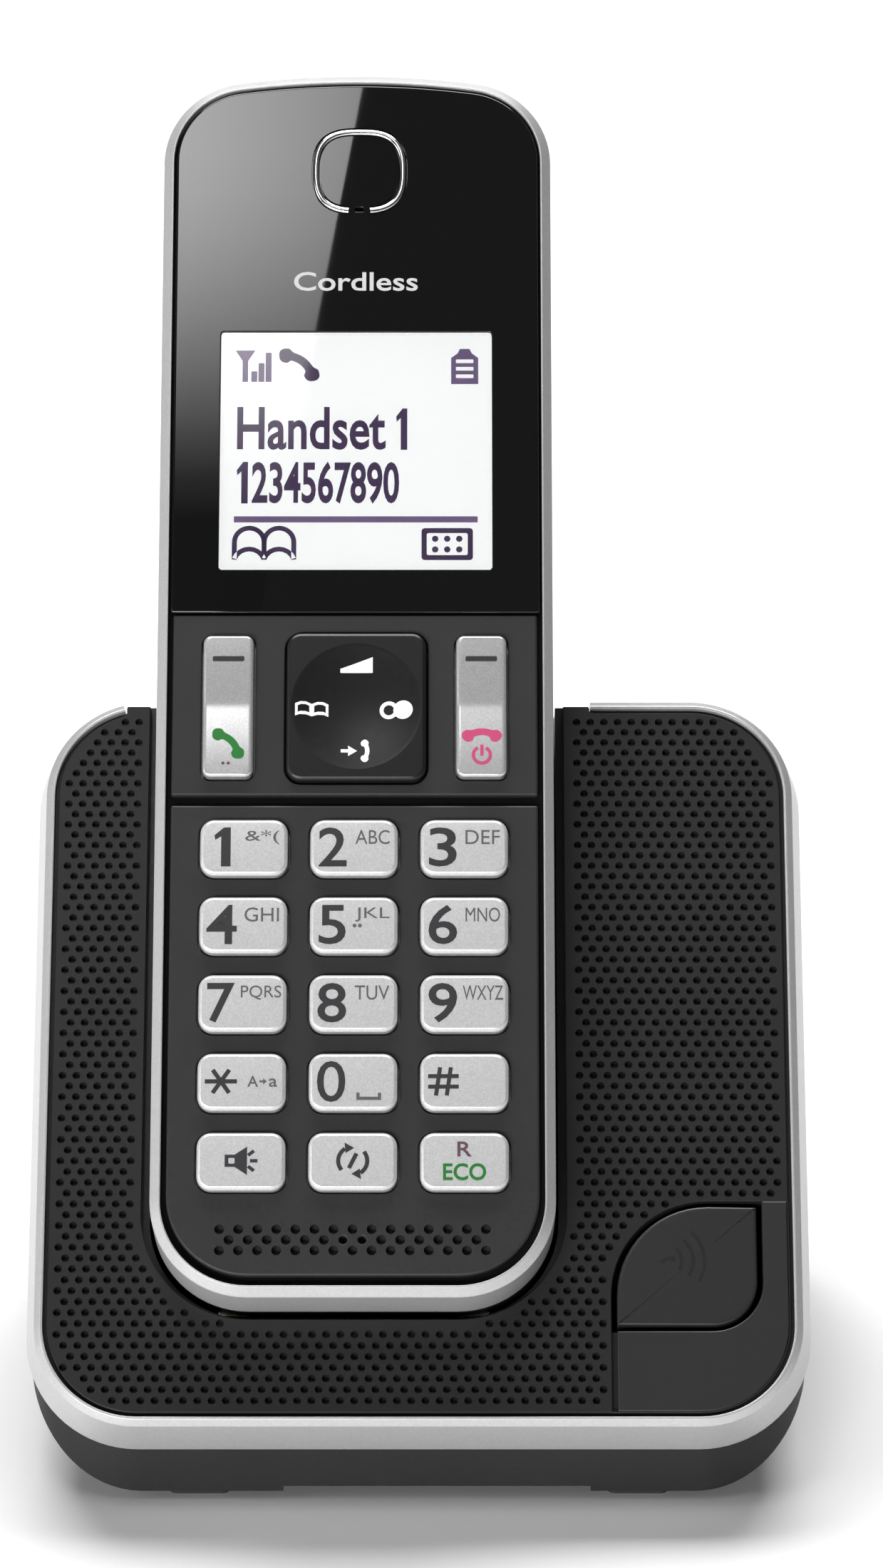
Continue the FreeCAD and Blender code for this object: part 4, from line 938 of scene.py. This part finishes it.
def navigator_surface(x, y):
    """Height of the four-way key: level outside the hollow, and a shallow bowl inside it."""
    away = np.hypot(x - NAV_MIDDLE[0], y - NAV_MIDDLE[1]) / DISH_R
    return NAV_TOP - DISH_DEEP * np.clip(1 - away ** 2, 0, 1)


navigator = Shell()
nav_loop = braced(key_loop(NAV_MIDDLE, NAV_SIZE, NAV_R), 0.5)
low = NAV_LIP_TOP - LIP_THICK
navigator.add_rings(carried(nav_loop, [
    (-NAV_FOOT_INSET, NAV_FOOT_Z), (-NAV_FOOT_INSET, low), (LIP, low), (LIP, NAV_LIP_TOP), (0, NAV_LIP_TOP),
    (0, NAV_TOP - 0.5), (-0.03, NAV_TOP - 0.34), (-0.12, NAV_TOP - 0.2), (-0.3, NAV_TOP - 0.06),
    (-NAV_CHAMFER, NAV_TOP)]))
dish_rim = circle(*NAV_MIDDLE, DISH_R + 0.12, NAV_SIDES)
navigator.add_fill(grown(nav_loop, -NAV_CHAMFER), [dish_rim], NAV_TOP)
rings = [at_height(dish_rim, NAV_TOP)]
for share in (0.99, 0.96, 0.9, 0.8, 0.68, 0.55, 0.42, 0.3, 0.18, 0.08):
    bowl = circle(*NAV_MIDDLE, DISH_R * share, NAV_SIDES)
    rings.append(np.column_stack([bowl, navigator_surface(bowl[:, 0], bowl[:, 1])]))
navigator.add_rings(rings)
navigator.add_fan(rings[-1], [*NAV_MIDDLE, NAV_TOP - DISH_DEEP])
socket_rim = circle(*NAV_MIDDLE, NAV_SOCKET_R, 24)
navigator.add_fill(grown(nav_loop, -NAV_FOOT_INSET), [socket_rim], NAV_FOOT_Z, up=False)
rings = []
for climb in np.radians([0, 20, 40, 60, 80]):
    rings.append(at_height(circle(*NAV_MIDDLE, NAV_SOCKET_R * math.cos(climb), 24),
                           NAV_FOOT_Z + NAV_SOCKET_DEEP * math.sin(climb)))
navigator.add_rings(rings)
navigator.add_fan(rings[-1], [*NAV_MIDDLE, NAV_FOOT_Z + NAV_SOCKET_DEEP], up=False)
make_piece("cap_navigator", navigator, on_handset, navigator_black, "navigator_key",
           ["navigator_key"])

nx, ny = NAV_MIDDLE
page = np.array([(0, -0.85), (-0.7, -0.62), (-1.5, -0.62), (-2.05, -0.85), (-2.05, 0.75), (-1.4, 1.05),
                 (-0.7, 1.05), (0, 0.75)])
page_hole = np.array([(-0.3, -0.35), (-0.75, -0.2), (-1.4, -0.2), (-1.72, -0.35), (-1.72, 0.5), (-1.3, 0.7),
                      (-0.75, 0.7), (-0.3, 0.5)])
marks = [slab(moved([(-2.0, -0.85), (2.0, -0.85), (2.0, 1.1), (-2.0, -0.35)], (nx, ny + 5.3)))]
for flip in (1, -1):
    marks.append(slab(moved(page * (flip, 1), (nx - 5.5, ny - 0.35)),
                      [moved(page_hole * (flip, 1), (nx - 5.5, ny - 0.35))]))
marks.append(slab(circle(nx + 5.75, ny - 0.35, 1.2, 24)))
marks.append(slab(circle(nx + 4.0, ny - 0.35, 1.15, 24), [circle(nx + 4.0, ny - 0.35, 0.66, 24)]))
marks.append(slab(receiver((nx + 1.0, ny - 5.65), 3.0, -90)))
marks.append(slab(moved([(-1.9, -0.22), (-1.0, -0.22), (-1.0, -0.7), (0.1, 0), (-1.0, 0.7), (-1.0, 0.22),
                         (-1.9, 0.22)], (nx, ny - 5.65))))
print_on("symbols_navigator", marks, navigator_surface, on_handset, ink_white, "navigator_key")


# ---- The display ---------------------------------------------------------------------------------
# A dot-matrix liquid-crystal display, lit white from behind, under a clear flush window. The dark
# violet marks are the cells that are switched on: a signal meter, names, a number and two soft keys.
LCD_Z = -1.3
DISPLAY_MIDDLE = (0.0, 106.15)
CELL = 0.36               # pitch of the display's dots

display_glass = finish("display_glass", (0.25, 0.26, 0.26), 0.35)
glass_nodes = display_glass.node_tree.nodes
glass_links = display_glass.node_tree.links
glass_shader = glass_nodes["Principled BSDF"]
glass_shader.inputs["Emission Strength"].default_value = 0.84
cells = glass_nodes.new("ShaderNodeTexBrick")
cells.offset = 0.0
for socket, value in (("Scale", 1 / MM), ("Brick Width", CELL), ("Row Height", CELL), ("Mortar Size", 0.03),
                      ("Color1", (0.94, 0.965, 0.955, 1)), ("Color2", (0.955, 0.97, 0.965, 1)),
                      ("Mortar", (0.985, 1.0, 0.99, 1))):
    cells.inputs[socket].default_value = value
glass_links.new(glass_nodes.new("ShaderNodeTexCoord").outputs["Object"], cells.inputs["Vector"])
glass_links.new(cells.outputs["Color"], glass_shader.inputs["Emission Color"])

lcd_on = finish("lcd_on", (0.055, 0.022, 0.095), 0.5, cloud=(0.3, 0.45, 0.6))
lcd_half = finish("lcd_half", (0.20, 0.13, 0.28), 0.5, cloud=(0.3, 0.45, 0.6))


def print_display(name, marks, ink):
    """Lays marks on the front glass of the display."""
    print_on(name, marks, level(LCD_Z + 0.01), on_handset, ink, "handset")


dx, dy = DISPLAY_MIDDLE
FIGURE = (1.4, 5.5)
marks = [slab(receiver((dx - 7.25, dy + 11.6), 6.0, -38)),
         letters("Handset", (dx - 5.6, dy + 3.2), (18.6, 5.7), 0.018),
         figure_one((dx + 5.7, dy + 3.1), FIGURE),
         letters("234567890", (dx - 3.8, dy - 4.0), (18.4, 5.6), 0.022),
         figure_one((dx - 14.2, dy - 4.0), FIGURE)]
print_display("display_words", marks, lcd_on)

aerial = [(-15.2, 13.6), (-12.7, 13.6), (-13.6, 12.2), (-13.6, 9.4), (-14.3, 9.4), (-14.3, 12.2)]
marks = [slab(moved(aerial, DISPLAY_MIDDLE))]
marks += [slab(rectangle(dx + x, dx + x + 0.75, dy + 9.4, dy + 9.4 + high, 0.05, 2))
          for x, high in ((-13.2, 1.4), (-12.3, 2.5), (-11.4, 3.9))]
battery = [(11.9, 9.1), (15.3, 9.1), (15.3, 12.6), (14.5, 13.2), (14.2, 13.8), (13.0, 13.8), (12.7, 13.2),
           (11.9, 12.6)]
bars = [rectangle(dx + 12.5, dx + 14.7, dy + y, dy + y + 0.5, 0.05, 2) for y in (9.9, 10.9, 11.9)]
marks.append(slab(moved(battery, DISPLAY_MIDDLE), bars))
marks.append(slab(rectangle(dx - 15.2, dx + 15.2, dy - 9.25, dy - 8.45, 0.05, 2)))
print_display("display_meters", marks, lcd_half)

marks = []
PAGE_R = 1.85
for side in (-1, 1):
    x, y = dx - 11.4 + side * PAGE_R, dy - 12.1
    sheet = np.vstack([arc(x, y + 0.25, PAGE_R, 180, 0, 17), [(x + PAGE_R, y - 2.0)],
                       arc(x, y - 2.6, 1.95, 20, 160, 9), [(x - PAGE_R, y - 2.0)]])
    marks.append(slab(stroke(np.vstack([sheet, sheet[:1]]), 0.62)))
keypad_box = rectangle(dx + 8.2, dx + 14.6, dy - 14.2, dy - 10.0, 0.4, 4)
marks.append(slab(keypad_box, [rectangle(dx + 8.85, dx + 13.95, dy - 13.55, dy - 10.65, 0.2, 3)]))
marks += [slab(circle(dx + 9.9 + column * 1.5, dy - 12.8 + row * 1.4, 0.42, 8))
          for column in range(3) for row in range(2)]
print_display("display_soft_keys", marks, lcd_on)

clear_window = finish("clear_window", (1, 1, 1), 0.03, cloud=(20.0, 0.02, 0.05))
window_shader = clear_window.node_tree.nodes["Principled BSDF"]
window_shader.inputs["Transmission Weight"].default_value = 1.0
window_shader.inputs["IOR"].default_value = 1.49


# ---- The base's silver rim -----------------------------------------------------------------------
# A C-shaped moulding round the base's face, painted like the handset's band: a bright narrow bevel,
# then a skirt that leans outwards. Its two ends stop beside the handset's channel at the back.
PANEL_SLOPE = 44.5
PANEL_HALF = 45.55
PANEL_LOW = 1.25
PANEL_TOP = 92.6
PANEL_R = 11.5
RIM_BEVEL = 1.15
RIM_FLARE = 1.3
RIM_DEEP = 7.0
RIM_OPEN = (-36.95, 21.5)
RIM_PROUD = 0.25

on_panel = tilted_frame("base_rim", PANEL_SLOPE, PANEL_LOW - RIM_BEVEL - RIM_FLARE, RIM_PROUD)
panel_x = PANEL_HALF - PANEL_R
left_cut = math.degrees(math.acos((RIM_OPEN[0] + panel_x) / PANEL_R))
panel_line = np.concatenate([
    [(RIM_OPEN[1], PANEL_TOP), (RIM_OPEN[1] + 0.5, PANEL_TOP)],
    [(panel_x - 0.5, PANEL_TOP)],
    arc(panel_x, PANEL_TOP - PANEL_R, PANEL_R, 90, 0, 19),
    [(PANEL_HALF, PANEL_TOP - PANEL_R - 0.5), (PANEL_HALF, PANEL_LOW + PANEL_R + 0.5)],
    arc(panel_x, PANEL_LOW + PANEL_R, PANEL_R, 0, -90, 19),
    [(panel_x - 0.5, PANEL_LOW), (-panel_x + 0.5, PANEL_LOW)],
    arc(-panel_x, PANEL_LOW + PANEL_R, PANEL_R, -90, -180, 19),
    [(-PANEL_HALF, PANEL_LOW + PANEL_R + 0.5), (-PANEL_HALF, PANEL_TOP - PANEL_R - 0.5)],
    arc(-panel_x, PANEL_TOP - PANEL_R, PANEL_R, 180, left_cut, 16),
])
sides = np.diff(panel_line, axis=0)
sides /= np.linalg.norm(sides, axis=1)[:, None]
normals = np.stack([-sides[:, 1], sides[:, 0]], 1)
before = np.vstack([normals[:1], normals])
after = np.vstack([normals, normals[-1:]])
mitre = (before + after) * 2 / ((before + after) ** 2).sum(1)[:, None]
rim_profile = braced(rounded([(0.06, -RIM_DEEP, 0.1), (RIM_BEVEL + RIM_FLARE, -RIM_DEEP, 0.3),
                              (RIM_BEVEL, -0.5, 0.35), (0.35, RIM_PROUD, 0.22),
                              (0.06, RIM_PROUD - 0.05, 0.05)], 5), 0.08)
rim = Shell()
points = panel_line[:, None] + mitre[:, None] * rim_profile[None, :, :1]
bars = np.concatenate([points, np.broadcast_to(rim_profile[None, :, 1:], points.shape[:2] + (1,))], 2)
rim.add_rings(bars)
rim.add(bars[0], [list(range(len(rim_profile)))[::-1]], flat=True)
rim.add(bars[-1], [list(range(len(rim_profile)))], flat=True)
make_piece("silver_rim", rim, on_panel, silver_paint, "base", ["base_rim"])


# ---- The base's dotted face ----------------------------------------------------------------------
# A dark ABS cover moulded with close rows of small blind dimples, each row set half a pitch along
# from the last. It is cut out for the handset's channel and for the page button and its trim.
PANEL_THICK = 2.0
DOT_PITCH = (1.72, 1.37)
DOT_R = 0.5
DOT_DEEP = 0.8
DOT_SIDES = 10
DOT_MARGIN = 1.0
GROOVE_WIDE = 0.5         # dark groove between the face and the rim
GROOVE_DEEP = 0.7
CHANNEL_X = (-33.8, 18.0)
CHANNEL_LOW = 13.39
CHANNEL_R = 13.2
EAR_TOP = 93.1
BUTTON = (24.1, 41.2, 12.55, 27.5)
BUTTON_GAP = 0.7
BUTTON_BIG_R = 11.2
BUTTON_SMALL_R = 5.6
TRIM_TOP = BUTTON[3] + BUTTON_GAP
WELL_DEEP = 0.8
WELL_INSET = 0.55
SKIRT_WALL = 1.4
CORNER_POINTS = 19


def leaf(grow=0.0):
    """Outline of the page button: a large round corner and, opposite, a smaller one."""
    x0, x1, y0, y1 = BUTTON
    return rounded([(x0 - grow, y0 - grow, 0.12), (x1 + grow, y0 - grow, BUTTON_SMALL_R + grow),
                    (x1 + grow, y1 + grow, 0.12), (x0 - grow, y1 + grow, BUTTON_BIG_R + grow)], 15)


def button_well():
    """Outline of the sunk corner for the button and its trim; it follows the button's large round corner."""
    left = BUTTON[0] - BUTTON_GAP
    half = PANEL_HALF - WELL_INSET
    return rounded([(left, PANEL_LOW + WELL_INSET, 0.1), (half, PANEL_LOW + WELL_INSET, PANEL_R - WELL_INSET),
                    (half, TRIM_TOP, 0.1), (left, TRIM_TOP, BUTTON_BIG_R + BUTTON_GAP)], 15)


def inside(spots, loop):
    """True for each spot that a level line leaves through an odd number of the loop's sides."""
    after = np.roll(loop, -1, 0)
    x, y = spots[:, :1], spots[:, 1:]
    crosses = (loop[:, 1] > y) != (after[:, 1] > y)
    with np.errstate(divide="ignore", invalid="ignore"):
        meet = (after[:, 0] - loop[:, 0]) * (y - loop[:, 1]) / (after[:, 1] - loop[:, 1]) + loop[:, 0]
    return (crosses & (x < meet)).sum(1) % 2 == 1


def distance(spots, loop):
    """Shortest distance from each spot to a loop's sides."""
    run = np.roll(loop, -1, 0) - loop
    share = ((spots[:, None] - loop) * run).sum(2) / (run ** 2).sum(1)
    near = loop + np.clip(share, 0, 1)[..., None] * run
    return np.linalg.norm(spots[:, None] - near, axis=2).min(1)


panel_black = finish("panel_black", (0.013, 0.013, 0.0133), 0.42, specular=0.32, cloud=(0.4, 0.42, 0.5),
                     shades=(8.0, (0.0125, 0.0125, 0.0128), (0.0138, 0.0138, 0.0141)), grain=(0.14, 0.008))

cut_right = math.degrees(math.acos((RIM_OPEN[0] + 0.1 + panel_x) / PANEL_R))
panel_loop = tidy_loop(np.concatenate([
    arc(-panel_x, PANEL_LOW + PANEL_R, PANEL_R, 180, 270, CORNER_POINTS),
    arc(panel_x, PANEL_LOW + PANEL_R, PANEL_R, -90, 0, CORNER_POINTS),
    arc(panel_x, PANEL_TOP - PANEL_R, PANEL_R, 0, 90, CORNER_POINTS),
    [(RIM_OPEN[1] - 0.1, PANEL_TOP), (RIM_OPEN[1] - 0.1, EAR_TOP), (CHANNEL_X[1], EAR_TOP)],
    arc(CHANNEL_X[1] - CHANNEL_R, CHANNEL_LOW + CHANNEL_R, CHANNEL_R, 0, -90, 23),
    arc(CHANNEL_X[0] + CHANNEL_R, CHANNEL_LOW + CHANNEL_R, CHANNEL_R, -90, -180, 23),
    [(CHANNEL_X[0], EAR_TOP), (RIM_OPEN[0] + 0.1, EAR_TOP)],
    arc(-panel_x, PANEL_TOP - PANEL_R, PANEL_R, cut_right, 180, 16),
]))
columns = int(2 * PANEL_HALF / DOT_PITCH[0]) + 2
rows = int((PANEL_TOP - PANEL_LOW) / DOT_PITCH[1]) + 2
dot_x, dot_y = np.meshgrid((np.arange(columns) - columns / 2) * DOT_PITCH[0],
                           PANEL_LOW + 0.6 + np.arange(rows) * DOT_PITCH[1])
dot_x = dot_x + (np.arange(rows) % 2)[:, None] * DOT_PITCH[0] / 2
dots = np.stack([dot_x.ravel(), dot_y.ravel()], 1)
well_loop = button_well()
dots = dots[inside(dots, panel_loop) & (distance(dots, panel_loop) > DOT_MARGIN)]
dots = dots[~inside(dots, well_loop) & (distance(dots, well_loop) > DOT_R + 0.3)]

cover = Shell()
around = circle(0, 0, 1.0, DOT_SIDES)
rims = dots[:, None] + around * DOT_R
floors = dots[:, None] + around * DOT_R * 0.72
levels = np.zeros(rims.shape[:2] + (1,))
bowls = np.concatenate([np.concatenate([rims, levels], 2), np.concatenate([floors, levels - DOT_DEEP], 2)], 1)
base_index = np.arange(len(dots))[:, None, None] * 2 * DOT_SIDES
side = np.arange(DOT_SIDES)
after = (side + 1) % DOT_SIDES
walls = (base_index + np.stack([side, after, after + DOT_SIDES, side + DOT_SIDES], 1)).reshape(-1, 4)
cover.add(bowls.reshape(-1, 3), walls.tolist())
cover.add(bowls.reshape(-1, 3), (base_index[:, 0] + side + DOT_SIDES).tolist(), flat=True)
outer = braced(panel_loop, 0.4)
beside_channel = (outer[:, 0] > RIM_OPEN[0]) & (outer[:, 0] < RIM_OPEN[1]) & (outer[:, 1] > CHANNEL_LOW - 0.1)
step = np.where(beside_channel, 0.12, GROOVE_WIDE)[:, None]
rings = []
for share, z in ((0, -PANEL_THICK), (0, -GROOVE_DEEP), (0.85, -GROOVE_DEEP), (0.9, -0.12), (1, -0.03),
                 (1.15, 0)):
    rings.append(at_height(grown(outer, -share * step), z))
cover.add_rings(rings)
cover.add_rings(carried(well_loop, [(0.12, 0), (0.03, -0.03), (0, -0.12), (0, -WELL_DEEP)]))
hole = leaf(BUTTON_GAP - 0.02)
cover.add_rings(carried(hole, [(0, -WELL_DEEP), (0, -PANEL_THICK)]))
cover.add_fill(well_loop, [hole], -WELL_DEEP)
cover.add_fill(rings[-1][:, :2], [grown(well_loop, 0.12)] + list(rims), 0.0)
cover.add_fill(outer, [hole], -PANEL_THICK, up=False)
skirt_end = 3 * CORNER_POINTS - 1
skirt_loop = tidy_loop(np.vstack([panel_loop[:skirt_end], grown(panel_loop, -SKIRT_WALL)[:skirt_end][::-1]]))
cover.add_rings(carried(skirt_loop, [(0, -RIM_DEEP), (0, -PANEL_THICK + 0.05)]))
cover.add_fill(skirt_loop, [], -RIM_DEEP, up=False)
cover.add_fill(skirt_loop, [], -PANEL_THICK + 0.05)
make_piece("dotted_face", cover, on_panel, panel_black, "base", ["base_top_panel"])


# ---- The button's trim ---------------------------------------------------------------------------
# A plain L-shaped plate, glossier than the dotted face, that fills the corner below the page button
# and runs up its right side. It clips into a shallow well in the cover.
TRIM_INSET = 0.6
button_black = finish("button_black", (0.019, 0.019, 0.0195), 0.37, cloud=(0.4, 0.34, 0.4),
                      grain=(0.25, 0.004))

trim = Shell()
trim_low = BUTTON[2] - BUTTON_GAP
trim_right = BUTTON[1] + BUTTON_GAP
trim_small = BUTTON_SMALL_R + BUTTON_GAP
trim_half = PANEL_HALF - TRIM_INSET
trim_bottom = PANEL_LOW + TRIM_INSET
trim_loop = tidy_loop(np.concatenate([
    rounded([(BUTTON[0], trim_bottom, 0.15), (trim_half, trim_bottom, PANEL_R - TRIM_INSET),
             (trim_half, TRIM_TOP, 0.15), (BUTTON[0], TRIM_TOP, 0)], 15)[:-1],
    [(trim_right, TRIM_TOP)],
    arc(trim_right - trim_small, trim_low + trim_small, trim_small, 0, -90, 15),
    [(BUTTON[0], trim_low)],
]))
add_plate(trim, braced(trim_loop, 0.3), [], 0.1, -0.75, 0.18)
make_piece("button_trim", trim, on_panel, button_black, "base", ["button_surround"])


# ---- The page button -----------------------------------------------------------------------------
# A leaf-shaped black button that makes a mislaid handset ring. Its top is gently crowned, with a
# lip behind the cover, a stem over the switch and a small embossed mark of a sound spreading out.
BUTTON_TOP = 0.35
BUTTON_CROWN = 0.45
BUTTON_EDGE = 0.3
STEM = (32.5, 19.5)
STEM_R = 1.6
STEM_LOW = -PANEL_THICK - 3.0


def button_surface(x, y):
    """Height of the button: it falls away to the right with the square of the distance."""
    across = np.clip((x - BUTTON[0]) / (BUTTON[1] - BUTTON[0]), 0, 1)
    return BUTTON_TOP - BUTTON_CROWN * across ** 2


button = Shell()
loop = braced(leaf(), 0.4)
middle = np.array([(BUTTON[0] + BUTTON[1]) / 2, (BUTTON[2] + BUTTON[3]) / 2])
lip_low = -PANEL_THICK - 1.4
rings = list(carried(loop, [(0, lip_low), (0, -0.6)]))
for inward, down in quarter(BUTTON_EDGE)[::-1]:
    flat = grown(loop, -inward)
    rings.append(np.column_stack([flat, button_surface(flat[:, 0], flat[:, 1]) - down]))
rim_loop = grown(loop, -BUTTON_EDGE)
for share in (0.97, 0.85, 0.7, 0.5, 0.3, 0.12):
    flat = middle + (rim_loop - middle) * share
    rings.append(np.column_stack([flat, button_surface(flat[:, 0], flat[:, 1])]))
button.add_rings(rings)
button.add_fan(rings[-1], [*middle, button_surface(middle[:1], middle[1:])[0]])
button.add_fan(rings[0], [*middle, lip_low], up=False)
rings = carried(circle(*STEM, STEM_R, 20), [(0, STEM_LOW), (0, lip_low + 0.05)])
button.add_rings(rings)
button.add_fan(rings[0], [*STEM, STEM_LOW], up=False)
button.add_fan(rings[-1], [*STEM, lip_low + 0.05])
make_piece("cap_page_button", button, on_panel, button_black, "page_button", ["page_button"])

mark_black = finish("mark_black", (0.004, 0.004, 0.004), 0.6, cloud=(0.5, 0.45, 0.55))
SOUND_FROM = (29.9, 20.6)
marks = [slab(receiver((SOUND_FROM[0] + 0.4, SOUND_FROM[1] + 0.1), 1.9, 15))]
for radius in (2.1, 3.5, 4.9):
    marks.append(slab(stroke(arc(*SOUND_FROM, radius, -32, 48, 13), 0.42)))
print_on("mark_page_button", marks, button_surface, on_panel, mark_black, "page_button")


# ---- What stays as it was designed ---------------------------------------------------------------
# The shells, the channel, the sockets and everything inside keep their designed shapes and only get
# their finishes here: moulded ABS, rubber, plated steel, circuit board, cell sleeves and so on.
case_black = finish("case_black", (0.013, 0.013, 0.0133), 0.48, specular=0.3, cloud=(0.6, 0.42, 0.54),
                    shades=(12.0, (0.012, 0.012, 0.0123), (0.014, 0.014, 0.0143)), grain=(0.2, 0.02))
liner_black = finish("liner_black", (0.010, 0.010, 0.010), 0.4, cloud=(0.5, 0.36, 0.46), grain=(0.2, 0.01))
rubber_black = finish("rubber_black", (0.018, 0.018, 0.018), 0.8, grain=(0.3, 0.03))
rubber_grey = finish("rubber_grey", (0.42, 0.42, 0.41), 0.75, grain=(0.3, 0.02))
steel = finish("steel", (0.62, 0.62, 0.60), 0.28, metallic=1.0, cloud=(0.3, 0.2, 0.36))
contact_plate = finish("contact_plate", (0.86, 0.80, 0.66), 0.2, metallic=1.0, cloud=(0.3, 0.14, 0.28))
speaker_black = finish("speaker_black", (0.02, 0.02, 0.02), 0.6, grain=(0.3, 0.03))
socket_black = finish("socket_black", (0.014, 0.014, 0.014), 0.5, grain=(0.2, 0.01))
carrier_white = finish("carrier_white", (0.72, 0.72, 0.70), 0.45, grain=(0.3, 0.01))
light_guide_white = finish("light_guide_white", (0.88, 0.89, 0.88), 0.3, grain=(0.5, 0.01))
cell_sleeve = finish("cell_sleeve", (0.16, 0.33, 0.20), 0.35,
                     shades=(6.0, (0.14, 0.30, 0.18), (0.18, 0.36, 0.22)))
board_green = finish("board_green", (0.03, 0.16, 0.07), 0.4, coat=0.4,
                     shades=(1.2, (0.02, 0.12, 0.05), (0.05, 0.22, 0.10), 0.0))

STAYS = {
    case_black: ["base_lower_case", "handset_back_case", "battery_cover"],
    liner_black: ["cradle_liner"],
    clear_window: ["display_window"],
    display_glass: ["lcd_module"],
    light_guide_white: ["display_light_guide"],
    board_green: ["handset_board", "base_main_board"],
    rubber_grey: ["key_mat"],
    rubber_black: ["base_feet"],
    speaker_black: ["earpiece_speaker", "microphone", "ringer_speaker"],
    cell_sleeve: ["battery_cells"],
    contact_plate: ["handset_contacts", "charge_contact_left", "charge_contact_right"],
    steel: ["battery_terminals", "handset_screws", "base_screws", "handset_antenna", "base_antenna"],
    carrier_white: ["navigator_post", "navigator_carrier"],
    socket_black: ["page_switch", "line_jack", "power_jack"],
}
for material, names in STAYS.items():
    for name in names:
        for entry in NODES[name].material_slots:
            entry.material = material


# ---- The card that the lens mirrors --------------------------------------------------------------
# A bright studio card hung in front of and above the phone. The mirror-smooth lens shows its slanting
# right-hand edge, and its light fades downwards. It is worked out backwards: each of its points lies
# where the lens would throw a ray from the camera.
CARD_AWAY = 0.55
CARD_EDGE = ((0.7, 155.4), (-5.0, 123.0))   # where the edge crosses the lens
CARD_LEFT = -75.0
CARD_RANGE = (70.0, 200.0)
CARD_SHAPE = (25, 13)
CARD_POWER = 7.0
CARD_FADE = (96.0, 52.0)  # the glow starts here up the lens, and is full this much further on
up_lens = np.linspace(*CARD_RANGE, CARD_SHAPE[0])
slant = (CARD_EDGE[0][0] - CARD_EDGE[1][0]) / (CARD_EDGE[0][1] - CARD_EDGE[1][1])
edge_x = CARD_EDGE[1][0] + (up_lens - CARD_EDGE[1][1]) * slant
share = np.linspace(0, 1, CARD_SHAPE[1])
lens_x = CARD_LEFT + (edge_x[:, None] - CARD_LEFT) * share
lens_y = np.broadcast_to(up_lens[:, None], CARD_SHAPE)
spots = np.stack([lens_x, lens_y, np.zeros(CARD_SHAPE)], 2).reshape(-1, 3)
on_lens = on_handset(spots)
facing = on_handset(np.array([[0, 0, 1.0]]))[0] - on_handset(np.array([[0, 0, 0.0]]))[0]
facing /= np.linalg.norm(facing)
sight = on_lens - np.array(CAMERA_PLACE)
sight /= np.linalg.norm(sight, axis=1)[:, None]
thrown = sight - 2 * (sight @ facing)[:, None] * facing
card_points = on_lens + thrown * CARD_AWAY
card_mesh = bpy.data.meshes.new("lens_card")
grid = np.arange(len(spots)).reshape(CARD_SHAPE)
quads = np.stack([grid[:-1, :-1], grid[:-1, 1:], grid[1:, 1:], grid[1:, :-1]], -1).reshape(-1, 4)
card_mesh.from_pydata(card_points.tolist(), [], quads.tolist())
rise = np.clip((spots[:, 1] - CARD_FADE[0]) / CARD_FADE[1], 0.05, 1)
across = np.clip((spots[:, 0] + 24) / 26, 0, 1)
glow = rise ** 2 * (3 - 2 * rise) * (1.15 - 0.5 * across)
card_mesh.attributes.new("glow", "FLOAT", "POINT").data.foreach_set("value", glow)
card_light = bpy.data.materials.new("card_light")
card_light.use_nodes = True
card_nodes = card_light.node_tree.nodes
card_nodes.clear()
card_glow = card_nodes.new("ShaderNodeAttribute")
card_glow.attribute_name = "glow"
card_power = card_nodes.new("ShaderNodeMath")
card_power.operation = "MULTIPLY"
card_power.inputs[1].default_value = CARD_POWER
card_shine = card_nodes.new("ShaderNodeEmission")
card_out = card_nodes.new("ShaderNodeOutputMaterial")
card_links = card_light.node_tree.links
card_links.new(card_glow.outputs["Fac"], card_power.inputs[0])
card_links.new(card_power.outputs[0], card_shine.inputs["Strength"])
card_links.new(card_shine.outputs[0], card_out.inputs["Surface"])
card_mesh.materials.append(card_light)
lens_card = bpy.data.objects.new("lens_card", card_mesh)
bpy.context.scene.collection.objects.link(lens_card)
lens_card.visible_camera = False
lens_card.visible_shadow = False
